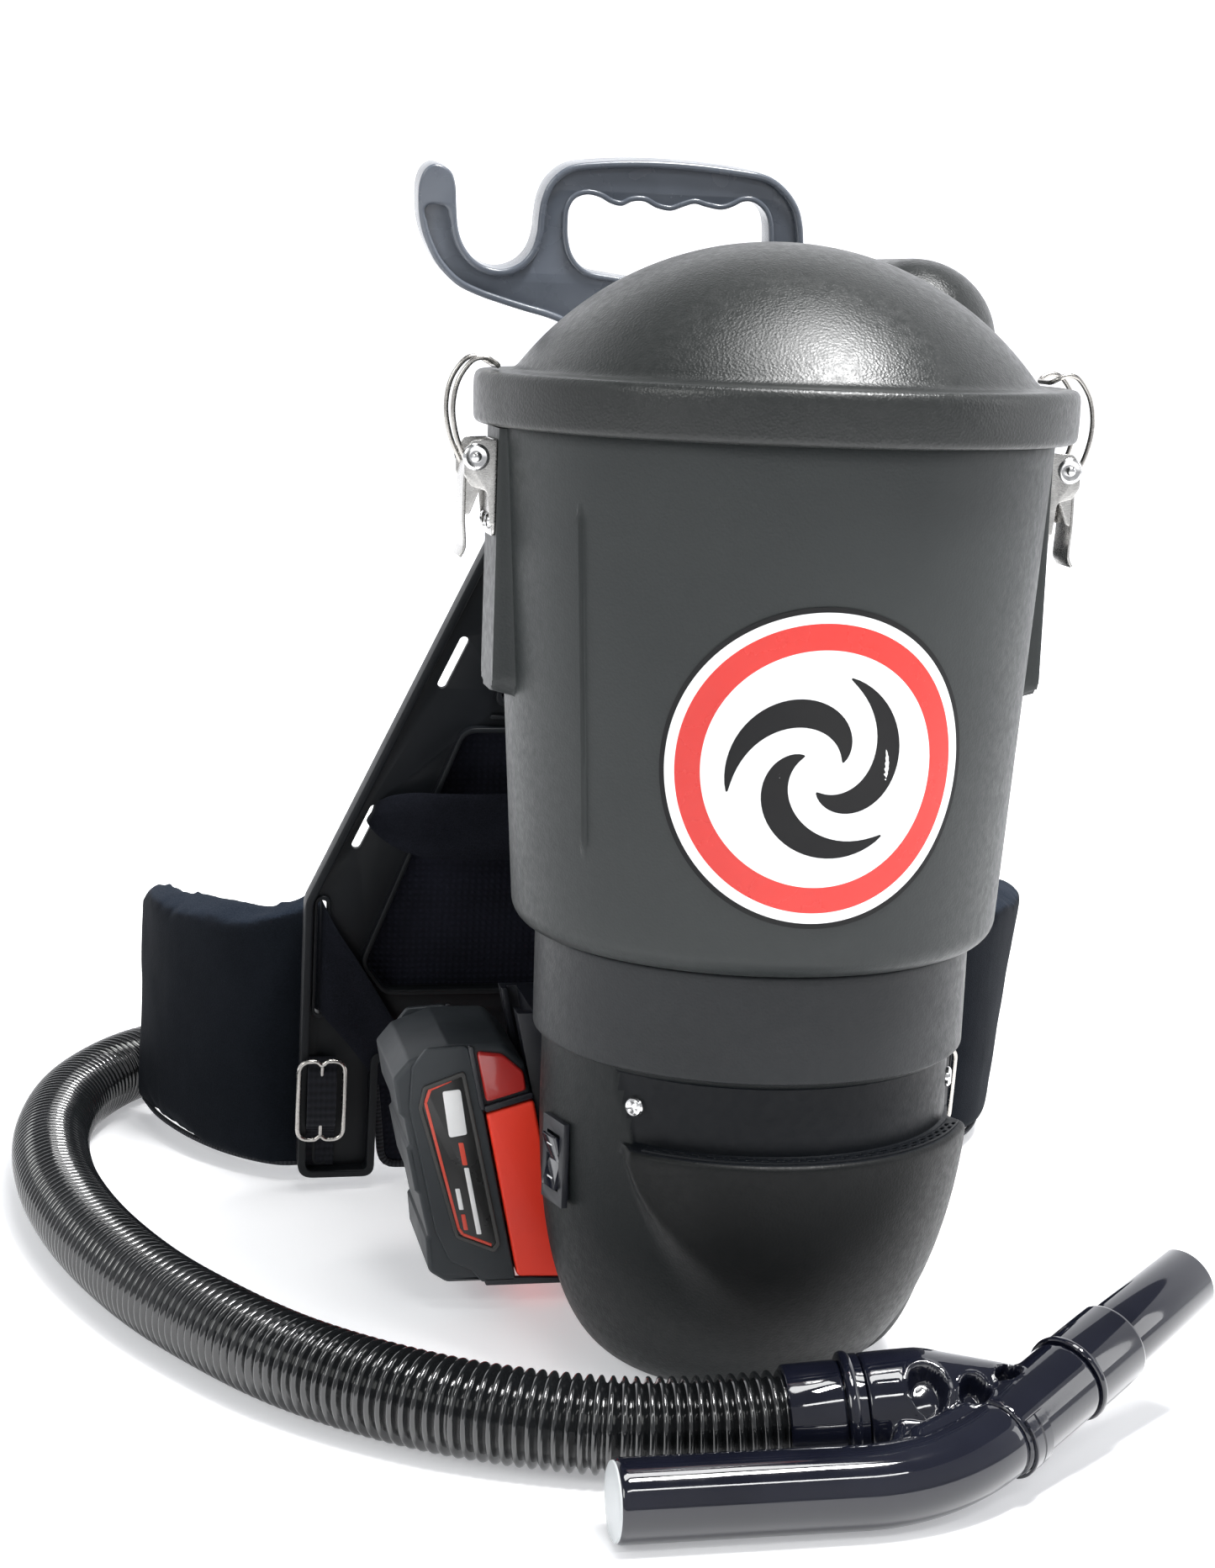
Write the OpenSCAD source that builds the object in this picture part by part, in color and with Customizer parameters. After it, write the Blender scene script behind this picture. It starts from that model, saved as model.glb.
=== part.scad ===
// Battery backpack vacuum cleaner, standing upright with its hose laid round it.
// Millimetres. The origin is on the canister axis at floor level, +Z is up, the badge
// faces -Y and the harness, on the wearer's side, faces +Y.

/* [Canister] */
// outside diameter of the lid rim at its top edge
rim_d = 275; // [250:1:300]
// outside diameter of the dust tub under the rim
tub_top_d = 255; // [230:1:280]
// outside diameter of the dust tub at its foot
tub_foot_d = 227; // [200:1:250]
// outside diameter of the motor sleeve below the tub
sleeve_d = 203.6; // [180:0.2:220]
// outside diameter of the motor cover below the sleeve
cover_d = 194; // [170:1:210]
// wall thickness of the moulded shells
wall = 2.8; // [2:0.1:4]

/* [Heights] */
// height of the sleeve's lower edge above the floor
sleeve_z = 162; // [140:1:180]
// height of the tub's lower edge
tub_z = 211.5; // [190:0.5:230]
// height of the rim band's lower edge
rim_z = 442; // [400:1:480]
// height of the rim band
rim_h = 24; // [16:1:30]
// rise of the dome above the rim band
dome_h = 61; // [40:1:80]

/* [Latches] */
// height of the latch pivots
latch_z = 428; // [410:1:434]
// length of the lever below its pivot
lever_len = 43; // [30:1:55]
// wire diameter of the bails
wire_d = 2.5; // [2:0.1:3]
// spacing of a bail's two side wires
bail_w = 22; // [18:1:28]

/* [Battery] */
// length of the pack along its slide
pack_len = 129; // [120:1:150]
// width of the pack across its slide
pack_w = 80; // [70:1:90]
// thickness of the pack from its outer face to its slide face
pack_t = 69; // [55:1:80]
// lean of the pack away from the canister, degrees
pack_lean = 12; // [0:1:15]

/* [Harness] */
// half width of the back frame at its feet
frame_hw = 189; // [160:1:200]
// half width of the frame's neck
neck_hw = 46; // [35:1:60]
// length of the frame from foot to neck
frame_len = 490; // [440:1:520]
// lean of the frame towards the lid, degrees
frame_lean = 7.8; // [0:0.1:12]
// plate thickness of the frame
plate_t = 4; // [3:0.5:6]
// depth of the frame's edge flange
flange_h = 12; // [8:1:16]

/* [Hose and hand-piece] */
// outside diameter of the hose
hose_d = 43; // [38:1:50]
// outside diameter of the grip tube
grip_d = 35; // [30:1:40]
// outside diameter of the outlet tube
outlet_d = 33; // [30:1:38]
// bend of the hand-piece, degrees
bend_a = 37.3; // [25:0.1:45]

/* [Hidden] */

charcoal = [0.25, 0.26, 0.27];
near_black = [0.07, 0.07, 0.08];
gloss_black = [0.03, 0.03, 0.04];
steel = [0.72, 0.72, 0.70];
pack_red = [0.80, 0.17, 0.12];
fabric_black = [0.05, 0.05, 0.06];

gap = 0.2;
tub_r = tub_top_d / 2;
foot_r = tub_foot_d / 2;
sleeve_r = sleeve_d / 2;
cover_r = cover_d / 2;
rim_r = rim_d / 2;
rim_top = rim_z + rim_h;
tub_top = rim_z + 5;
foot_arc = 12;
shoulder_r = 119.5;
dome_r = (shoulder_r * shoulder_r + dome_h * dome_h) / (2 * dome_h);
dome_c = rim_top + dome_h - dome_r;

// Scoop on the motor cover: the sector it spans and where its vents are.
scoop_from = -136;
scoop_angle = 114;
ledge_r = 106.7;
ledge_z = 126.6;

// Hose port in the lid.
port_x = 80;
port_y = 132;
port_z = 483;
port_r = 24.3;
bump_r = 40;

// Latch geometry, from the canister axis outwards.
pad_r = 129.5;
pad_hw = 18;
latch_r = 139;
latch_pin_r = 2.2;
bail_pin = [latch_r + 1, latch_z - 8];

// Battery pack, in the leaning slide frame.
pack_y = 100;
pack_z = 14;
pack_out = -139;
pack_split = -96;
pack_in = pack_out + pack_t;
lean_k = tan(pack_lean);
cap_z = 102;
cap_rise = 7;

lean_shift = flange_h * sin(frame_lean);
foot_y = 262;

socket_from = [-13, -142, 25];
socket_to = [105, -153.5, 36.6];
bend_r = 110;
bend_x = 41.6;
grip_end = -99;
grip_base = [0, -198, 18];
grip_roll = 22.7;

// ---- helpers ------------------------------------------------------------------

function unit(v) = v / norm(v);

function arc(c, r, a0, a1, n) =
    [for (i = [0:n]) let (a = a0 + (a1 - a0) * i / n) [c[0] + r * cos(a), c[1] + r * sin(a)]];

function bezier(p, n) =
    [for (i = [0:n]) let (t = i / n, s = 1 - t)
        s * s * s * p[0] + 3 * s * s * t * p[1] + 3 * s * t * t * p[2] + t * t * t * p[3]];

// Points along a smooth curve through hand-placed points.
function spline(p, n) = concat(
    [for (i = [0:len(p) - 2], k = [0:n - 1])
        let (a = p[max(i - 1, 0)], b = p[i], c = p[i + 1], d = p[min(i + 2, len(p) - 1)], t = k / n)
        0.5 * (2 * b + (c - a) * t + (2 * a - 5 * b + 4 * c - d) * t * t
            + (3 * b - a - 3 * c + d) * t * t * t)],
    [p[len(p) - 1]]);

function tangents(p) =
    [for (i = [0:len(p) - 1]) unit(p[min(i + 1, len(p) - 1)] - p[max(i - 1, 0)])];

function carry(t, v, i = 0) =
    i >= len(t) ? [] : let (n = unit(v - (v * t[i]) * t[i])) concat([n], carry(t, n, i + 1));

function ring_faces(rings, n) = concat(
    [[for (j = [0:n - 1]) j]],
    [[for (j = [n - 1:-1:0]) (rings - 1) * n + j]],
    [for (i = [0:rings - 2], j = [0:n - 1])
        [i * n + j, (i + 1) * n + j, (i + 1) * n + (j + 1) % n, i * n + (j + 1) % n]]);

// Round bar of radius r along a path.
module round_sweep(path, r, sides, side_dir = [0, 0, 1]) {
    t = tangents(path);
    v = carry(t, side_dir);
    pts = [for (i = [0:len(path) - 1], j = [0:sides - 1])
        let (a = 360 * j / sides) path[i] + r * (cos(a) * v[i] + sin(a) * cross(t[i], v[i]))];
    polyhedron(pts, ring_faces(len(path), sides), convexity = 8);
}

// Flat band along a path: w across side_dir, th thick.
module flat_sweep(path, w, th, side_dir = [0, 0, 1]) {
    t = tangents(path);
    v = carry(t, side_dir);
    corner = [[1, -1], [1, 1], [-1, 1], [-1, -1]];
    pts = [for (i = [0:len(path) - 1], c = corner)
        path[i] + c[0] * w / 2 * v[i] + c[1] * th / 2 * cross(t[i], v[i])];
    polyhedron(pts, ring_faces(len(path), 4), convexity = 6);
}

// The outline p with every edge moved d to its left, so a clockwise outline grows.
function cross2(a, b) = a[0] * b[1] - a[1] * b[0];
function shifted(p, d) =
    [for (i = [0:len(p) - 1])
        let (a = p[(i + len(p) - 1) % len(p)], b = p[i], c = p[(i + 1) % len(p)],
            e = unit(b - a), f = unit(c - b),
            q = b + d * [-e[1], e[0]], r = b + d * [-f[1], f[0]])
        q + e * cross2(r - q, f) / cross2(e, f)];

// Flat stroke of width w with round ends along a 2D path.
module stroke(p, w) {
    for (i = [0:len(p) - 2])
        translate(p[i])
            rotate(atan2(p[i + 1][1] - p[i][1], p[i + 1][0] - p[i][0]))
                translate([0, -w / 2])
                    square([norm(p[i + 1] - p[i]), w]);
    for (q = p)
        translate(q)
            circle(d = w, $fn = 24);
}

module round_box2d(size, r) {
    for (dx = [-1, 1], dy = [-1, 1])
        translate([dx * (size[0] / 2 - r), dy * (size[1] / 2 - r)])
            circle(r = r, $fn = 32);
    square([size[0], size[1] - 2 * r], center = true);
    square([size[0] - 2 * r, size[1]], center = true);
}

module revolve(p) {
    rotate_extrude($fn = 128)
        polygon(p);
}

module sector(p, from = scoop_from, angle = scoop_angle) {
    rotate([0, 0, from])
        rotate_extrude(angle = angle, $fn = 128)
            polygon(p);
}

module tube_x(r_out, r_in, len) {
    rotate([0, 90, 0])
        difference() {
            cylinder(r = r_out, h = len, $fn = 64);
            translate([0, 0, -1])
                cylinder(r = r_in, h = len + 2, $fn = 64);
        }
}

module mirror_x(is_left) {
    mirror([is_left ? 1 : 0, 0, 0])
        children();
}

// Plates drawn in the back frame's own plane, extruded towards the canister.
module in_frame(front, back = 0) {
    translate([0, foot_y, lean_shift])
        rotate([frame_lean, 0, 0])
            translate([0, back, 0])
                rotate([90, 0, 0])
                    linear_extrude(front + back)
                        children();
}

module on_frame() {
    translate([0, foot_y, lean_shift])
        rotate([frame_lean, 0, 0])
            children();
}

// Hand-piece plane: x along the grip, y up the bend.
module in_hand() {
    translate(grip_base)
        rotate([grip_roll, 0, 0])
            children();
}

// ---- canister -----------------------------------------------------------------

function tub_radius(z) = foot_r + (tub_r - foot_r) * (z - tub_z - foot_arc) / (rim_z - tub_z - foot_arc);
tub_slope = atan((tub_r - foot_r) / (rim_z - tub_z - foot_arc));

module tub_solid(inset, floor_z, top_z) {
    c = [foot_r - foot_arc, tub_z + foot_arc];
    r = foot_arc - inset;
    revolve(concat(
        [[0, floor_z]],
        arc(c, r, -90, 0, 8),
        [[tub_r - inset, rim_z], [tub_r - inset, top_z], [0, top_z]]));
}

module latch_pad() {
    translate([pad_r - 30, 0, 0])
        rotate([90, 0, 90])
            linear_extrude(30)
                translate([0, (322 + rim_z - 4) / 2])
                    round_box2d([2 * pad_hw, rim_z - 4 - 322], 8);
}

module tub() {
    color(charcoal)
        difference() {
            union() {
                tub_solid(0, tub_z, tub_top);
                latch_pad();
                mirror_x(true)
                    latch_pad();
                rotate([0, 0, -145])
                    translate([tub_radius(336), 0, 336])
                        rotate([0, tub_slope, 0])
                            cube([3, 5, 148], center = true);
            }
            tub_solid(wall, tub_z + wall, tub_top + 1);
            translate([0, 0, tub_z - 1])
                cylinder(r = 32, h = 8, $fn = 64);
        }
}

module motor_housing() {
    color(charcoal)
        revolve([
            [sleeve_r - 0.8, sleeve_z], [sleeve_r, tub_z - gap], [34, tub_z - gap],
            [34, tub_z - 4], [sleeve_r - wall - 1, tub_z - 4], [sleeve_r - wall - 1, sleeve_z]
        ]);
}

// The cover's side runs down and under in one curve; inset makes the wall's inner face.
function cover_side(inset) = bezier([
    [cover_r - inset, 130], [cover_r - inset, 60],
    [86 - inset, inset], [46, inset]], 14);

function scoop_side(inset) = bezier([
    [ledge_r - inset, 122], [102 - inset, 66],
    [80 - inset, 6 + inset], [50, 1 + inset]], 14);

module cover_solid(inset, top) {
    revolve(concat([[0, top], [cover_r - inset, top]], cover_side(inset), [[0, inset]]));
}

module base_cover() {
    color(charcoal)
        difference() {
            union() {
                cover_solid(0, sleeve_z + 6);
                sector(concat([[60, ledge_z], [ledge_r - 0.5, ledge_z]], scoop_side(0), [[50, 20]]));
            }
            cover_solid(3.2, sleeve_z + 7);
            // hollow of the scoop, and the seat of the vent strip at its top
            sector(concat([[88, ledge_z - 3], [ledge_r - 3, ledge_z - 3]], scoop_side(3), [[60, 30]]),
                scoop_from + 2, scoop_angle - 4);
            sector([[cover_r + 0.4, ledge_z - 3.1], [ledge_r - 2.4, ledge_z - 3.1],
                [ledge_r - 2.4, ledge_z + 1], [cover_r + 0.4, ledge_z + 1]],
                scoop_from + 2, scoop_angle - 4);
            // band above the vents is set back a little
            sector([[cover_r - 1.5, ledge_z + 1.4], [cover_r + 3, ledge_z + 1.4],
                [cover_r + 3, sleeve_z - 0.5], [cover_r - 1.5, sleeve_z - 0.5]],
                scoop_from - 5, scoop_angle + 13);
            cover_screw_places()
                translate([-10, 0, 0])
                    rotate([0, 90, 0])
                        cylinder(r = 2.1, h = 14, $fn = 24);
            switch_place()
                cube([30, 19, 35], center = true);
        }
}

module exhaust_grille() {
    slots = 26;
    color(near_black)
        difference() {
            sector([[cover_r + 0.6, ledge_z - 2.6], [ledge_r - 2.6, ledge_z - 2.6],
                [ledge_r - 2.6, ledge_z], [cover_r + 0.6, ledge_z]],
                scoop_from + 3, scoop_angle - 6);
            for (i = [1:slots - 1], row = [0, 1])
                rotate([0, 0, scoop_from + 3 + (i + row / 2 - 0.25) * (scoop_angle - 6) / slots])
                    translate([cover_r + 2.6 + 2.8 * row, 0, ledge_z - 1.5])
                        cube([1.4, 5, 6], center = true);
        }
}

module cover_screw_places() {
    for (a = [-135, -20])
        rotate([0, 0, a])
            translate([cover_r - 1.5, 0, 144])
                children();
    for (a = [40, 140])
        rotate([0, 0, a])
            translate([cover_r, 0, 144])
                children();
}

module cover_screws() {
    color(steel)
        cover_screw_places()
            rotate([0, 90, 0]) {
                difference() {
                    translate([0, 0, 0.1])
                        cylinder(r1 = 4.8, r2 = 3.6, h = 2.6, $fn = 32);
                    for (a = [0, 90])
                        rotate([0, 0, a])
                            translate([0, 0, 2.4])
                                cube([5, 1.1, 2], center = true);
                }
                translate([0, 0, -8])
                    cylinder(r = 2, h = 8.2, $fn = 24);
            }
}

module lid_outer() {
    a0 = asin((rim_top - dome_c) / dome_r);
    revolve(concat(
        [[0, rim_z], [rim_r - 2.4, rim_z]],
        arc([rim_r - 4, rim_top - 4], 4, 0, 90, 6),
        arc([0, dome_c], dome_r, a0, 90, 20)));
}

module lid_void() {
    r = dome_r - wall;
    a0 = asin((rim_top - 3 - dome_c) / r);
    revolve(concat(
        [[0, rim_z - 1], [131.5, rim_z - 1], [131.5, 452.2], [116.5, 452.2], [116.5, rim_top - 3]],
        arc([0, dome_c], r, a0, 90, 20)));
}

// Rounded inlet housing on the lid's back right; r is its radius, y1 its back end.
module inlet_bump(r, y1, floor_z) {
    difference() {
        translate([port_x, 0, port_z]) {
            translate([0, 52, 0])
                sphere(r = r, $fn = 64);
            translate([0, y1, 0])
                rotate([90, 0, 0])
                    cylinder(r = r, h = y1 - 52, $fn = 64);
        }
        translate([0, 0, floor_z - 60])
            cube([400, 400, 120], center = true);
    }
}

module lid() {
    color(charcoal)
        difference() {
            union() {
                lid_outer();
                inlet_bump(bump_r, port_y, 449);
            }
            lid_void();
            inlet_bump(bump_r - wall, port_y - 14, 453);
            translate([port_x, port_y + 1, port_z])
                rotate([90, 0, 0])
                    cylinder(r = port_r, h = 40, $fn = 64);
        }
}

module lid_gasket() {
    color(near_black)
        revolve([[120, tub_top + gap], [130.5, tub_top + gap], [130.5, 452], [120, 452]]);
}

module inlet_collar() {
    color(near_black)
        translate([port_x, port_y + 0.1, port_z])
            rotate([-90, 0, 0])
                difference() {
                    cylinder(r1 = 33, r2 = 30, h = 5, $fn = 64);
                    translate([0, 0, -1])
                        cylinder(r = port_r, h = 8, $fn = 64);
                }
}

module bag_ring() {
    color(near_black)
        revolve([[116, 436], [tub_r - wall - 0.6, 436], [tub_r - wall - 0.6, tub_top - 1], [116, tub_top - 1]]);
}

module dust_bag() {
    color([0.55, 0.55, 0.53])
        difference() {
            revolve([[0, 232], [88, 232], [100, 244], [114.5, 400], [115, 443], [0, 443]]);
            revolve([[0, 233.5], [87, 233.5], [98.4, 245], [113, 400], [113.5, 444], [0, 444]]);
        }
}

module motor_filter() {
    color([0.8, 0.8, 0.78])
        translate([0, 0, tub_z + wall + gap])
            cylinder(r = 46, h = 10, $fn = 64);
}

module motor() {
    color(steel)
        difference() {
            union() {
                translate([0, 0, 84])
                    cylinder(r = 44, h = 92, $fn = 64);
                translate([0, 0, 176])
                    cylinder(r = 70, h = 28, $fn = 64);
            }
            translate([0, 0, 179])
                cylinder(r = 67, h = 22, $fn = 64);
            translate([0, 0, 120])
                cylinder(r = 4.05, h = 60, $fn = 32);
            translate([0, 0, 190])
                cylinder(r = 28, h = 20, $fn = 64);
        }
}

module impeller() {
    color([0.6, 0.6, 0.6]) {
        translate([0, 0, 181])
            cylinder(r = 62, h = 2, $fn = 64);
        translate([0, 0, 125])
            cylinder(r = 4, h = 66, $fn = 32);
        for (i = [0:8])
            rotate([0, 0, 40 * i])
                translate([22, -1, 182])
                    cube([38, 2, 14]);
    }
}

// A round sticker bent round the tub looks narrower than it is tall.
badge_r = 70;
badge_bend = 0.955;

module badge() {
    color([0.95, 0.95, 0.95])
        intersection() {
            difference() {
                revolve([[0, 220], [tub_radius(220) + 0.7, 220], [tub_radius(400) + 0.7, 400], [0, 400]]);
                revolve([[0, 219], [tub_radius(219) + 0.15, 219], [tub_radius(401) + 0.15, 401], [0, 401]]);
            }
            rotate([0, 0, -2])
                translate([0, 0, 306])
                    rotate([90, 0, 0])
                        scale([badge_bend, 1, 1])
                            cylinder(r = badge_r, h = 200, $fn = 96);
        }
}

// ---- latches ------------------------------------------------------------------

module latch_bracket() {
    color(steel) {
        translate([pad_r + 0.1, -14, 397])
            cube([1.5, 28, 39]);
        for (s = [-1, 1])
            translate([pad_r + 0.1, s * 13.25 - 0.75, 416])
                cube([14.4, 1.5, 18]);
        translate([latch_r, 15.5, latch_z])
            rotate([90, 0, 0])
                cylinder(r = latch_pin_r, h = 31, $fn = 32);
        for (s = [-1, 1])
            translate([latch_r, s * 15, latch_z])
                rotate([90, 0, 0])
                    cylinder(r = 3.8, h = 2, center = true, $fn = 32);
        for (z = [401.5, 410])
            translate([pad_r + 1.5, 0, z])
                rotate([0, 90, 0])
                    cylinder(r1 = 3.6, r2 = 2.4, h = 2.2, $fn = 32);
    }
}

module latch_lever() {
    color(steel)
        difference() {
            union() {
                translate([latch_r, 8.5, latch_z])
                    rotate([90, 0, 0])
                        cylinder(r = 4, h = 17, $fn = 32);
                translate([bail_pin[0], 8.5, bail_pin[1]])
                    rotate([90, 0, 0])
                        cylinder(r = 3, h = 17, $fn = 32);
                translate([latch_r - 1, -8.5, latch_z - 8])
                    cube([5, 17, 8]);
                translate([latch_r + 2, -8.5, latch_z - lever_len])
                    cube([1.8, 17, lever_len]);
                translate([latch_r + 2, -8.5, latch_z - lever_len])
                    rotate([0, 25, 0])
                        translate([0, 0, -4])
                            cube([1.8, 17, 5]);
            }
            translate([latch_r, 20, latch_z])
                rotate([90, 0, 0])
                    cylinder(r = latch_pin_r + 0.05, h = 40, $fn = 32);
            translate([bail_pin[0], 20, bail_pin[1]])
                rotate([90, 0, 0])
                    cylinder(r = wire_d / 2 + 0.05, h = 40, $fn = 32);
        }
}

// Half of a bail's wire: out past the rim and over it, down to the lid's shoulder.
bail_y = bail_w / 2;
bail_top = rim_top + wire_d / 2 + 0.3;
bail_half = [
    [bail_pin[0], bail_y, bail_pin[1]], [146, bail_y, 431], [151, bail_y, 447],
    [148, bail_y, 463], [140, bail_y, 471.5], [133, bail_y, 471.5],
    [130, bail_y - 1, bail_top + 1.2], [129.5, bail_y - 4, bail_top]];

module bail() {
    back = [for (i = [len(bail_half) - 1:-1:0])
        [bail_half[i][0], -bail_half[i][1], bail_half[i][2]]];
    color(steel) {
        round_sweep(spline(concat(bail_half, back), 3), wire_d / 2, 8, [0, 1, 0]);
        for (s = [-1, 1])
            translate([bail_pin[0], s * (bail_y + 3) / 2, bail_pin[1]])
                rotate([90, 0, 0])
                    cylinder(d = wire_d, h = bail_y - 2, center = true, $fn = 24);
    }
}

module latch_bracket_right() {
    latch_bracket();
}
module latch_lever_right() {
    latch_lever();
}
module bail_right() {
    bail();
}
module latch_bracket_left() {
    mirror_x(true)
        latch_bracket();
}
module latch_lever_left() {
    mirror_x(true)
        latch_lever();
}
module bail_left() {
    mirror_x(true)
        bail();
}

// ---- switch -------------------------------------------------------------------

module switch_place() {
    rotate([0, 0, -165])
        translate([97.5, 0, 106])
            children();
}

module switch_bezel() {
    color(near_black)
        switch_place()
            difference() {
                union() {
                    translate([-0.6, -11, -20])
                        cube([3, 22, 40]);
                    translate([-16, -9, -17])
                        cube([16, 18, 34]);
                }
                translate([-10, -6.6, -13.5])
                    cube([20, 13.2, 27]);
                rotate([90, 0, 0])
                    cylinder(r = 1.25, h = 17, center = true, $fn = 24);
            }
}

module switch_rocker() {
    color(gloss_black)
        switch_place() {
            rotate([90, 0, 0])
                linear_extrude(12.2, center = true)
                    polygon([[-5, -7], [2.6, -12.6], [4.6, -12.4], [1.6, 0], [5.4, 12.4], [3.6, 12.8], [-5, 7]]);
            rotate([90, 0, 0])
                cylinder(r = 1.2, h = 16, center = true, $fn = 24);
        }
}

// ---- rear carrier and battery --------------------------------------------------

function plate_face(z, front) =
    foot_y - (z - lean_shift) * tan(frame_lean) - front / cos(frame_lean);

module carrier() {
    z0 = 60;
    z1 = 196;
    color(near_black)
        difference() {
            translate([-58, 0, 0])
                rotate([90, 0, 90])
                    linear_extrude(116)
                        polygon([[84, 122], [100, z0], [plate_face(z0, plate_t + gap), z0],
                            [plate_face(z1, plate_t + gap), z1], [84, z1]]);
            translate([-54, 0, 0])
                rotate([90, 0, 90])
                    linear_extrude(108)
                        polygon([[108, z0 + 4], [plate_face(z0 + 4, plate_t + 5), z0 + 4],
                            [plate_face(z1 - 4, plate_t + 5), z1 - 4], [108, z1 - 4]]);
            cylinder(r = sleeve_r + gap, h = 300, $fn = 128);
            on_frame()
                for (x = [-35, 35])
                    translate([x, -2, 168])
                        rotate([90, 0, 0])
                            cylinder(r = 3.1, h = 30, $fn = 24);
        }
}

module upper_bracket() {
    z0 = 352;
    z1 = 396;
    color(near_black)
        difference() {
            translate([-30, 0, 0])
                rotate([90, 0, 90])
                    linear_extrude(60)
                        polygon([[90, z0], [plate_face(z0, plate_t + gap), z0],
                            [plate_face(z1, plate_t + gap), z1], [90, z1]]);
            revolve([[0, 340], [tub_radius(340) + gap, 340], [tub_radius(410) + gap, 410], [0, 410]]);
            on_frame()
                for (x = [-18, 18])
                    translate([x, -2, 376])
                        rotate([90, 0, 0])
                            cylinder(r = 3.1, h = 30, $fn = 24);
        }
}

module circuit_board() {
    color([0.1, 0.35, 0.15])
        translate([-45, 170, 80])
            cube([90, 1.6, 100]);
}

// Outline in the pack's leaning frame: s across the pack, z up.
function leaned(p) = [for (q = p) [q[0] - lean_k * (q[1] - pack_z), q[1]]];

module pack_prism(p, w, y = pack_y) {
    translate([0, y + w / 2, 0])
        rotate([90, 0, 0])
            linear_extrude(w)
                polygon(leaned(p));
}

module battery_dock() {
    s0 = pack_in + 0.6;
    color(near_black)
        difference() {
            union() {
                difference() {
                    pack_prism([[s0, 24], [s0 + 60, 24], [s0 + 60, 150], [s0, 150]], 60);
                    translate([-58 - gap, 0, 0])
                        cube([100, 400, 400]);
                }
            }
            pack_prism([[s0 - 1, 28], [s0 + 4.2, 28], [s0 + 4.2, 160], [s0 - 1, 160]], 37);
            pack_prism([[s0 + 3, 28], [s0 + 8.6, 28], [s0 + 8.6, 160], [s0 + 3, 160]], 49);
            cylinder(r = sleeve_r + 0.4, h = 300, $fn = 128);
        }
}

module battery_case() {
    color(near_black)
        difference() {
            pack_prism([[pack_out, pack_z], [pack_split, pack_z], [pack_split, cap_z],
                [pack_in, cap_z + cap_rise], [pack_in, pack_z + pack_len], [pack_out + 14, pack_z + pack_len - 3],
                [pack_out, pack_z + pack_len - 14], [pack_out, 106], [pack_out + 3, 102],
                [pack_out + 3, 40], [pack_out, 36]], pack_w);
            for (s = [-1, 1])
                pack_prism([[pack_in - 26, cap_z + 4], [pack_in - 2, cap_z + 10.5], [pack_in - 2, cap_z + 22],
                    [pack_in - 11, cap_z + 31], [pack_in - 26, cap_z + 33]], 13, pack_y + s * pack_w / 2);
        }
}

module battery_shell() {
    rail_z = cap_z + cap_rise - 2;
    color(pack_red) {
        pack_prism([[pack_split + gap, pack_z], [pack_in, pack_z],
            [pack_in, cap_z + cap_rise - gap], [pack_split + gap, cap_z - gap]], pack_w);
        pack_prism([[pack_in - 1, 30], [pack_in + 4.4, 30], [pack_in + 4.4, rail_z], [pack_in - 1, rail_z]], 36);
        pack_prism([[pack_in + 4, 30], [pack_in + 8.6, 30], [pack_in + 8.6, rail_z], [pack_in + 4, rail_z]], 48);
    }
}

module battery_label() {
    color([0.9, 0.9, 0.9])
        for (s = [-1, 1])
            pack_prism([[pack_out + 12, 106], [pack_out + 15, 116], [pack_split - 6, 123],
                [pack_split - 5, 34], [pack_out + 18, 40]], 0.5, pack_y + s * (pack_w / 2 + 0.35));
}

module pack_button(s) {
    color(pack_red)
        pack_prism([[pack_in - 25.6, cap_z + 4.6], [pack_in - 2.4, cap_z + 10.9], [pack_in - 2.4, cap_z + 21.8],
            [pack_in - 11.2, cap_z + 30.6], [pack_in - 25.6, cap_z + 32.5]], 3.4, pack_y + s * (pack_w / 2 - 1.2));
}

module button_front() {
    pack_button(-1);
}
module button_rear() {
    pack_button(1);
}

// ---- harness ------------------------------------------------------------------

foot_in = 146;
foot_top = 78;
foot_low = 7;
side_z = 172;
side_x = 94;
neck_from = 383;

frame_half = [[foot_in, foot_top], [foot_in, foot_low], [frame_hw, foot_low], [frame_hw, side_z],
    [side_x, neck_from], [neck_hw, frame_len]];
function flipped(p) = [for (i = [len(p) - 1:-1:0]) [-p[i][0], p[i][1]]];
frame_edge = concat(frame_half, flipped(frame_half));
side_angle = atan2(neck_from - side_z, side_x - frame_hw);
lower_window = [[48, 119], [143, 119], [155, 135], [105, 268], [48, 268]];
upper_window = [[48, 285], [89, 285], [71, 330], [48, 330]];

module each_side() {
    for (m = [0, 1])
        mirror([m, 0])
            children();
}

module frame_slot(p, angle, len) {
    translate(p)
        rotate(angle)
            stroke([[-len / 2, 0], [len / 2, 0]], 5);
}

module frame_slots() {
    each_side() {
        frame_slot([113, 306], side_angle, 26);
        frame_slot([157, 213], side_angle, 22);
        frame_slot([179, 138], 90, 62);
        frame_slot([176.5, 44.5], 90, 56);
    }
}

module window_rib(p) {
    difference() {
        polygon(shifted(p, -2.5));
        polygon(p);
    }
}

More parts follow.
